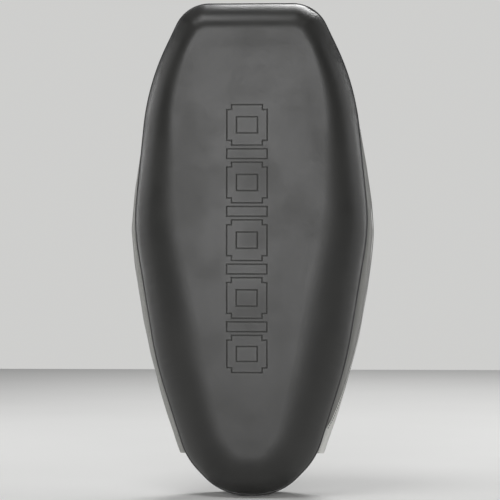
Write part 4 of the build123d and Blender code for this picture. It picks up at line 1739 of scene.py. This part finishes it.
def build_core(name, centre, along, feet, body, node):
    a, out = np.array(along), np.array((0, 1, 0))
    legs = feet - LEG_LEAN
    corners = [(-feet, FOOT_HEIGHT), (-legs, GRIP_REACH), (legs, GRIP_REACH), (feet, FOOT_HEIGHT)]
    flat, _ = even_path(rounded_path(corners, BEND_RADIUS), 1.5 * MM)
    path = [np.array(centre) + a * p + out * q for p, q in flat]

    def rolled(share, turn):
        wrap = 1 - 0.10 * np.exp(-((turn - pi) / 0.22) ** 2)
        return wrap * (1 + 0.012 * np.sin(share * 420))

    core = tube(f"{name} roll", path, CORE_RADIUS, GRIP_SKIN, sides=28, swell=rolled)
    pieces = [core]
    for end in (-1, 1):
        foot = np.array(centre) + a * end * feet + out * FOOT_HEIGHT
        run = np.linspace(-1, 1, 19)
        line = [foot + a * p * BARREL / 2 for p in run]

        def capped(share, turn):
            edge = min(share, 1 - share)
            return np.full(len(turn), sqrt(max(0.02, 1 - (1 - min(1, edge / 0.10)) ** 2)) * 0.99)

        pieces.append(tube(f"{name} foot {WORDS[end]}", line, CORE_RADIUS, GRIP_SKIN, sides=28, swell=capped))
    dress(join_pieces(f"{name} rolled core", pieces), body, "grip_leatherette", node)
    for end in (-1, 1):
        foot = np.array(centre) + a * end * (feet + 6.9 * MM)
        side = np.cross(a, out)
        hug = CORE_RADIUS + 0.9 * MM
        arc = [(hug * cos(t), FOOT_HEIGHT + hug * sin(t)) for t in np.linspace(0, pi, 25)]
        strap = [(hug + 5 * MM, PATCH_TOP + 0.7 * MM), (hug + 1.4 * MM, PATCH_TOP + 0.9 * MM), *arc]
        strap += [(-hug - 1.4 * MM, PATCH_TOP + 0.9 * MM), (-hug - 5 * MM, PATCH_TOP + 0.7 * MM)]
        keeper = strip_between(
            f"{name} keeper {WORDS[end]}", foot, side, out, a, strap, 4.2 * MM, 1.3 * MM, PATCH_SKIN
        )
        dress(keeper, "pad", "patch_leatherette")


def join_pieces(name, pieces):
    """Several meshes as one object."""
    work = bmesh.new()
    for piece in pieces:
        work.from_mesh(piece.data)
    mesh = pieces[0].data
    work.to_mesh(mesh)
    work.free()
    for piece in pieces[1:]:
        bpy.data.objects.remove(piece)
    mesh.polygons.foreach_set("use_smooth", [True] * len(mesh.polygons))
    pieces[0].name = mesh.name = name
    return pieces[0]


def strip_between(name, origin, side, out, along, path, width, thickness, material):
    """A flat strip with square edges along a path in the plane of side and out."""
    line, _ = even_path(path, 0.8 * MM)
    ahead = np.gradient(line, axis=0)
    ahead /= np.linalg.norm(ahead, axis=1)[:, None]
    normal = np.c_[-ahead[:, 1], ahead[:, 0]]
    loop = [(-1, -0.6), (-0.85, -1), (0.85, -1), (1, -0.6), (1, 0.6), (0.85, 1), (-0.85, 1), (-1, 0.6)]
    rows = []
    for place, across in zip(line, normal):
        spots = [place + across * b * thickness / 2 for _, b in loop]
        rows.append(
            [origin + side * p[0] + out * p[1] + along * w * width / 2 for p, (w, _) in zip(spots, loop)]
        )
    points = np.vstack(rows)
    faces = grid_faces(len(line), len(loop), closed=True)
    faces += [tuple(range(8)), tuple(range(len(points) - 8, len(points)))[::-1]]
    piece = add_piece(name, points, faces, material)
    turn_outwards(piece.data)
    return piece


for name, (centre, along, feet) in HANDLES.items():
    body = BODIES[name]
    low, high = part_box(f"{name}_sleeve")
    length = max(high.x - low.x, high.z - low.z)
    spoken = name.replace("_", " ")
    build_core(spoken, centre, along, feet, body, f"{name}_core")
    build_sleeve(f"{spoken} padded sleeve", centre, along, length, body, f"{name}_sleeve")
    print(spoken, "sleeve", round(length / MM), "mm long")

# %% [markdown]
# ## Loading zip
# The foam goes in through a slit with a moulded-tooth zip. Each tooth is a small block with a rounded head
# that reaches over the middle, and the two rows alternate. The slider is a cast body with two ears and a
# pin, and its pull hangs on the pin.


# %% Zip tapes and teeth
ZIP_Z = (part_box("zip_teeth")[0].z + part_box("zip_teeth")[1].z) / 2
TOOTH_PITCH, TOOTH_TOP = 3 * MM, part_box("zip_teeth")[1].y
tape_low, tape_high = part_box("zip_tapes")


def rounded_slab(name, cx, cz, wide, high, y0, y1, corner, bevel, material):
    """A slab that lies in the panel's plane, with rounded corners and a soft top edge."""
    rows = []
    for inset, y in ((0, y0), (0, y1 - bevel), (0.3 * bevel, y1 - 0.3 * bevel), (bevel, y1), (bevel * 2, y1)):
        loop = rounded_rectangle(wide - 2 * inset, high - 2 * inset, max(corner - inset, 0.2 * MM), steps=5)
        rows.append(np.c_[loop[:, 0] + cx, np.full(len(loop), y), loop[:, 1] + cz])
    count = len(rows[0])
    faces = grid_faces(len(rows), count, closed=True)
    faces += [tuple(range(count))[::-1], tuple((len(rows) - 1) * count + i for i in range(count))]
    piece = add_piece(name, np.vstack(rows), faces, material)
    turn_outwards(piece.data)
    return piece


tapes = []
TAPE_WIDE = 11 * MM
for side in (-1, 1):
    middle = ZIP_Z + side * (3 * MM + TAPE_WIDE / 2)
    tapes.append(
        rounded_slab(
            f"tape {side}",
            0,
            middle,
            tape_high.x - tape_low.x,
            TAPE_WIDE,
            0,
            1 * MM,
            1 * MM,
            0.25 * MM,
            ZIP_CLOTH,
        ),
    )
dress(join_pieces("sewn zip tapes", tapes), "pad", "zip_tape", "zip_tapes")
tape_rows = []
for side in (-1, 1):
    z = ZIP_Z + side * 10.5 * MM
    tape_rows.append([(tape_low.x + 3 * MM, 1.05 * MM, z), (tape_high.x - 3 * MM, 1.05 * MM, z)])
sew("zip tape stitches", tape_rows, "pad", "zip_tape", step=3.4, length=2.7, thickness=0.8)


def zip_tooth():
    """One tooth: a narrow foot on the tape and a wider head over the middle, which points up the pad."""
    head = rounded_slab(
        "tooth head", 0, 0.9 * MM, 2.2 * MM, 3.0 * MM, 0.6 * MM, TOOTH_TOP, 0.7 * MM, 0.3 * MM, TOOTH_RESIN
    )
    foot = rounded_slab(
        "tooth foot",
        0,
        -1.4 * MM,
        1.3 * MM,
        3.0 * MM,
        0.5 * MM,
        TOOTH_TOP - 0.2 * MM,
        0.3 * MM,
        0.25 * MM,
        TOOTH_RESIN,
    )
    return join_pieces("zip tooth", [head, foot])


count = round((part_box("zip_teeth")[1].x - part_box("zip_teeth")[0].x) / TOOTH_PITCH)
tooth_rows = []
for side in (-1, 1):
    tooth = zip_tooth()
    tooth.data.transform(
        Matrix.Translation((0, 0, -side * 1.0 * MM)) @ Matrix.Rotation(0 if side < 0 else pi, 4, "Y")
    )
    turn_outwards(tooth.data)
    start = -count * TOOTH_PITCH / 2 + (0.25 if side < 0 else 0.75) * TOOTH_PITCH
    places = [(start + k * TOOTH_PITCH, 0, ZIP_Z) for k in range(count)]
    tooth_rows.append(set_out(f"teeth {side}", tooth, places, TOOTH_RESIN))
dress(join_pieces("moulded teeth", tooth_rows), "pad", "zip_teeth", "zip_teeth")

stop_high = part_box("zip_stops")[1]
STOP_WIDTH, STOP_LENGTH = 3 * MM, 6 * MM
STOP_CORNER, STOP_ROUNDING = 0.8 * MM, 0.5 * MM
stops = [
    rounded_slab(
        f"stop {s}",
        s * (stop_high.x - STOP_WIDTH / 2),
        ZIP_Z,
        STOP_WIDTH,
        STOP_LENGTH,
        0,
        stop_high.y,
        STOP_CORNER,
        STOP_ROUNDING,
        GUNMETAL,
    )
    for s in (-1, 1)
]
dress(join_pieces("end stops", stops), "pad", "zip_metal", "zip_stops")
print(count, "teeth a side")

# %% Slider and pull
slider_low, slider_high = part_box("zip_slider")
pull_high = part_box("zip_pull")[1]
SLIDER_X, SLIDER_TOP, PIN_Y = (slider_low.x + slider_high.x) / 2, 3.6 * MM, 6.2 * MM
EYE_RADIUS, EYE_WIDTH, EAR = 2.3 * MM, 4.6 * MM, 1.2 * MM


def slider_outline(y0, y1, bevel):
    """The slider's plate: broad at the mouth, drawn in at the waist."""
    rows = []
    turn = np.linspace(0, 2 * pi, 49)[:-1]
    for inset, y in (
        (bevel, y0), (0, y0 + bevel), (0, y1 - bevel), (bevel * 0.4, y1 - bevel * 0.3), (bevel, y1)
    ):
        x = np.sign(np.cos(turn)) * np.abs(np.cos(turn)) ** 0.55 * (6.5 * MM - inset)
        waist = 1 - 0.12 * np.exp(-(x / (2.6 * MM)) ** 2) - 0.16 * np.clip(-x / (6.5 * MM), 0, 1)
        z = np.sign(np.sin(turn)) * np.abs(np.sin(turn)) ** 0.55 * (5.5 * MM - inset) * waist
        rows.append(np.c_[x + SLIDER_X, np.full(48, y), z + ZIP_Z])
    points = np.vstack(rows)
    faces = grid_faces(5, 48, closed=True) + [tuple(range(48))[::-1], tuple(192 + i for i in range(48))]
    plate = add_piece("slider plate", points, faces, GUNMETAL)
    turn_outwards(plate.data)
    return plate


def disc_z(name, x, y, radius, z0, z1, material, sides=28, bore=0.0):
    """A short round piece along z, with a soft rim."""
    bevel = 0.2 * MM
    profile = [(radius - bevel, z0), (radius, z0 + bevel), (radius, z1 - bevel), (radius - bevel, z1)]
    profile = [(bore, z0)] + profile + [(bore, z1)] if bore else profile
    turn = np.arange(sides) * 2 * pi / sides
    rows = [np.c_[x + r * np.cos(turn), y + r * np.sin(turn), np.full(sides, z)] for r, z in profile]
    if bore:
        rows.append(rows[0])
        faces = grid_faces(len(rows), sides, closed=True)
    else:
        faces = grid_faces(len(rows), sides, closed=True)
        faces += [tuple(range(sides)), tuple(range((len(rows) - 1) * sides, len(rows) * sides))[::-1]]
    piece = add_piece(name, np.vstack(rows), faces, material)
    turn_outwards(piece.data)
    return piece


slider = [slider_outline(2.4 * MM, SLIDER_TOP, 0.35 * MM)]
for side in (-1, 1):
    slider.append(
        rounded_slab(
            f"slider flank {side}",
            SLIDER_X,
            ZIP_Z + side * 4.5 * MM,
            11 * MM,
            1.6 * MM,
            1.2 * MM,
            3.0 * MM,
            0.5 * MM,
            0.2 * MM,
            GUNMETAL,
        )
    )
ear_z = (EYE_WIDTH + EAR) / 2 + 0.3 * MM
for side in (-1, 1):
    ear_start = ZIP_Z + side * ear_z - EAR / 2
    slider.append(disc_z(f"ear {side}", SLIDER_X, PIN_Y, EYE_RADIUS, ear_start, ear_start + EAR, GUNMETAL))
    root = disc_z(
        f"ear root {side}", SLIDER_X, SLIDER_TOP + 0.6 * MM, EYE_RADIUS, ear_start, ear_start + EAR, GUNMETAL
    )
    slider.append(root)
slider.append(disc_z("pin", SLIDER_X, PIN_Y, 0.8 * MM, ZIP_Z - ear_z, ZIP_Z + ear_z, GUNMETAL, sides=14))
dress(join_pieces("slider body", slider), "zip_slider", "zip_metal", "zip_slider")

pull_middle = pull_high.x - 12 * MM
pull = [
    disc_z(
        "pull eye",
        SLIDER_X,
        PIN_Y,
        EYE_RADIUS,
        ZIP_Z - EYE_WIDTH / 2,
        ZIP_Z + EYE_WIDTH / 2,
        GUNMETAL,
        bore=1.0 * MM,
    ),
    rounded_slab(
        "pull neck",
        SLIDER_X + EYE_RADIUS + 2 * MM,
        ZIP_Z,
        5.5 * MM,
        4.2 * MM,
        PIN_Y - 0.65 * MM,
        PIN_Y + 0.65 * MM,
        0.5 * MM,
        0.2 * MM,
        GUNMETAL,
    ),
]


def pull_plate():
    """The flat pull: a long plate of metal with a raised rim round a shallow recess."""
    rows = []
    half = 0.65 * MM
    levels = ((0.25, -1), (0, -0.6), (0, 0.6), (0.25, 1), (1.1, 1), (1.5, 0.4), (2.6, 0.4))
    for inset, level in levels:
        y = level * half
        loop = rounded_rectangle((24 - 2 * inset) * MM, (8 - 2 * inset) * MM, (3.4 - inset) * MM, steps=8)
        rows.append(np.c_[loop[:, 0] + pull_middle, np.full(len(loop), PIN_Y + y), loop[:, 1] + ZIP_Z])
    count = len(rows[0])
    faces = grid_faces(len(rows), count, closed=True)
    faces += [tuple(range(count))[::-1], tuple((len(rows) - 1) * count + i for i in range(count))]
    plate = add_piece("pull plate", np.vstack(rows), faces, GUNMETAL)
    turn_outwards(plate.data)
    return plate


pull.append(pull_plate())
dress(join_pieces("pull tab", pull), "zip_pull", "zip_metal", "zip_pull")
print("slider at x", round(SLIDER_X / MM, 1))

# %% [markdown]
# ## Inside the cover
# The foam blocks, the stiff sheet and the rivets' washers stay as the frame has them, and each gets its own
# finish, for a view of the pad opened on the bench.

# %% Finishes inside
INSIDE = {
    "core_foam": (FIRM_FOAM, "firm_foam"),
    "stiffening_sheet": (SHEET_PLASTIC, "sheet_plastic"),
    "rivet_washers": (NICKEL, "nickel_steel"),
}
for node, (finish, slot) in INSIDE.items():
    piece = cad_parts[node]
    piece.data.materials.clear()
    piece.data.materials.append(finish)
print("inside:", sorted(INSIDE))

# %% [markdown]
# ## Floor, light and camera
# Black leatherette shows what it reflects, so its form comes from soft lights: a broad one in front for the
# sheen on the plateau, and dim sides that leave the rolled slope dark. The floor is plain pale, and the world
# is pale only where the camera looks at it or through clear plastic; everywhere else it is dim.


# %% Floor and world
floor_material, floor_tree, floor_shader, floor_place = start_material("pale floor")
floor_tone = add_node(
    floor_tree, "ShaderNodeTexNoise", {"Vector": floor_place.outputs["Object"], "Scale": 3.0}
)
floor_colour = add_node(
    floor_tree, "ShaderNodeMix", {
        "Factor": floor_tone.outputs["Fac"], 6: (0.78, 0.78, 0.77, 1), 7: (0.82, 0.82, 0.81, 1)
    },
    data_type="RGBA",
)
floor_tree.links.new(floor_colour.outputs[2], floor_shader.inputs["Base Color"])
floor_shader.inputs["Roughness"].default_value = 0.8
FLOOR_Z = cad_low.z - 0.5 * MM
floor = add_piece(
    "floor", [
        (-4, -3.1, FLOOR_Z), (4, -3.1, FLOOR_Z), (4, 3.1, FLOOR_Z), (-4, 3.1, FLOOR_Z)
    ], [(0, 1, 2, 3)], floor_material, smooth=False
)

world = bpy.data.worlds.new("studio")
bpy.context.scene.world = world
world.use_nodes = True
sky = world.node_tree
sky.nodes.clear()
sky_out = sky.nodes.new("ShaderNodeOutputWorld")
dim = add_node(sky, "ShaderNodeBackground", {"Color": (1, 1, 1, 1), "Strength": 0.08})
bright = add_node(sky, "ShaderNodeBackground", {"Color": (0.62, 0.62, 0.61, 1), "Strength": 1.0})
ray = add_node(sky, "ShaderNodeLightPath")
seen = add_node(
    sky,
    "ShaderNodeMath",
    {0: ray.outputs["Is Camera Ray"], 1: ray.outputs["Is Transmission Ray"]},
    operation="MAXIMUM",
)
pick = add_node(sky, "ShaderNodeMixShader", {0: seen.outputs[0], 1: dim.outputs[0], 2: bright.outputs[0]})
sky.links.new(pick.outputs[0], sky_out.inputs[0])


# %% Lights
def soft_light(name, place, aim, wide, high, watts):
    lamp = bpy.data.lights.new(name, "AREA")
    lamp.shape, lamp.size, lamp.size_y, lamp.energy = "RECTANGLE", wide, high, watts
    light = bpy.data.objects.new(name, lamp)
    bpy.context.collection.objects.link(light)
    light.location = place
    light.rotation_mode = "QUATERNION"
    light.rotation_quaternion = (Vector(aim) - Vector(place)).to_track_quat("-Z", "Y")
    light.visible_camera = False
    return light


soft_light("front softbox", (-0.15, -3.6, 0.32), (0, 0, 0.0), 1.9, 1.2, 64)
soft_light("top softbox", (-0.4, -0.7, 2.0), (0, 0, 0.1), 1.0, 0.7, 15)
for hand, side in (("left", -1), ("right", 1)):
    soft_light(f"{hand} strip", (side * 1.7, 0.15, 0.15), (0, 0, 0), 0.8, 1.8, 5.5)
    soft_light(f"{hand} rim strip", (side * 1.5, 1.1, 0.2), (0, 0, 0), 0.3, 1.2, 6)
soft_light("back softbox", (0.5, 2.4, 2.2), (0, 0, 0.02), 1.4, 1.2, 55)

# %% Camera
camera_data = bpy.data.cameras.new("camera")
camera = bpy.data.objects.new("camera", camera_data)
bpy.context.collection.objects.link(camera)
bpy.context.scene.camera = camera
DISTANCE = 3.0
SENSOR_WIDTH = 36
SEEN_WIDTH = 0.625
camera_data.sensor_width = SENSOR_WIDTH
camera_data.lens = SENSOR_WIDTH * DISTANCE / SEEN_WIDTH
TURN = radians(3)
aim = Vector((-0.002, -0.05, -0.001))
camera.location = aim + Vector((sin(TURN) * DISTANCE, -cos(TURN) * DISTANCE, 0))
camera.rotation_mode = "QUATERNION"
camera.rotation_quaternion = (aim - camera.location).to_track_quat("-Z", "Y")
camera_data.clip_start, camera_data.clip_end = 0.1, 20
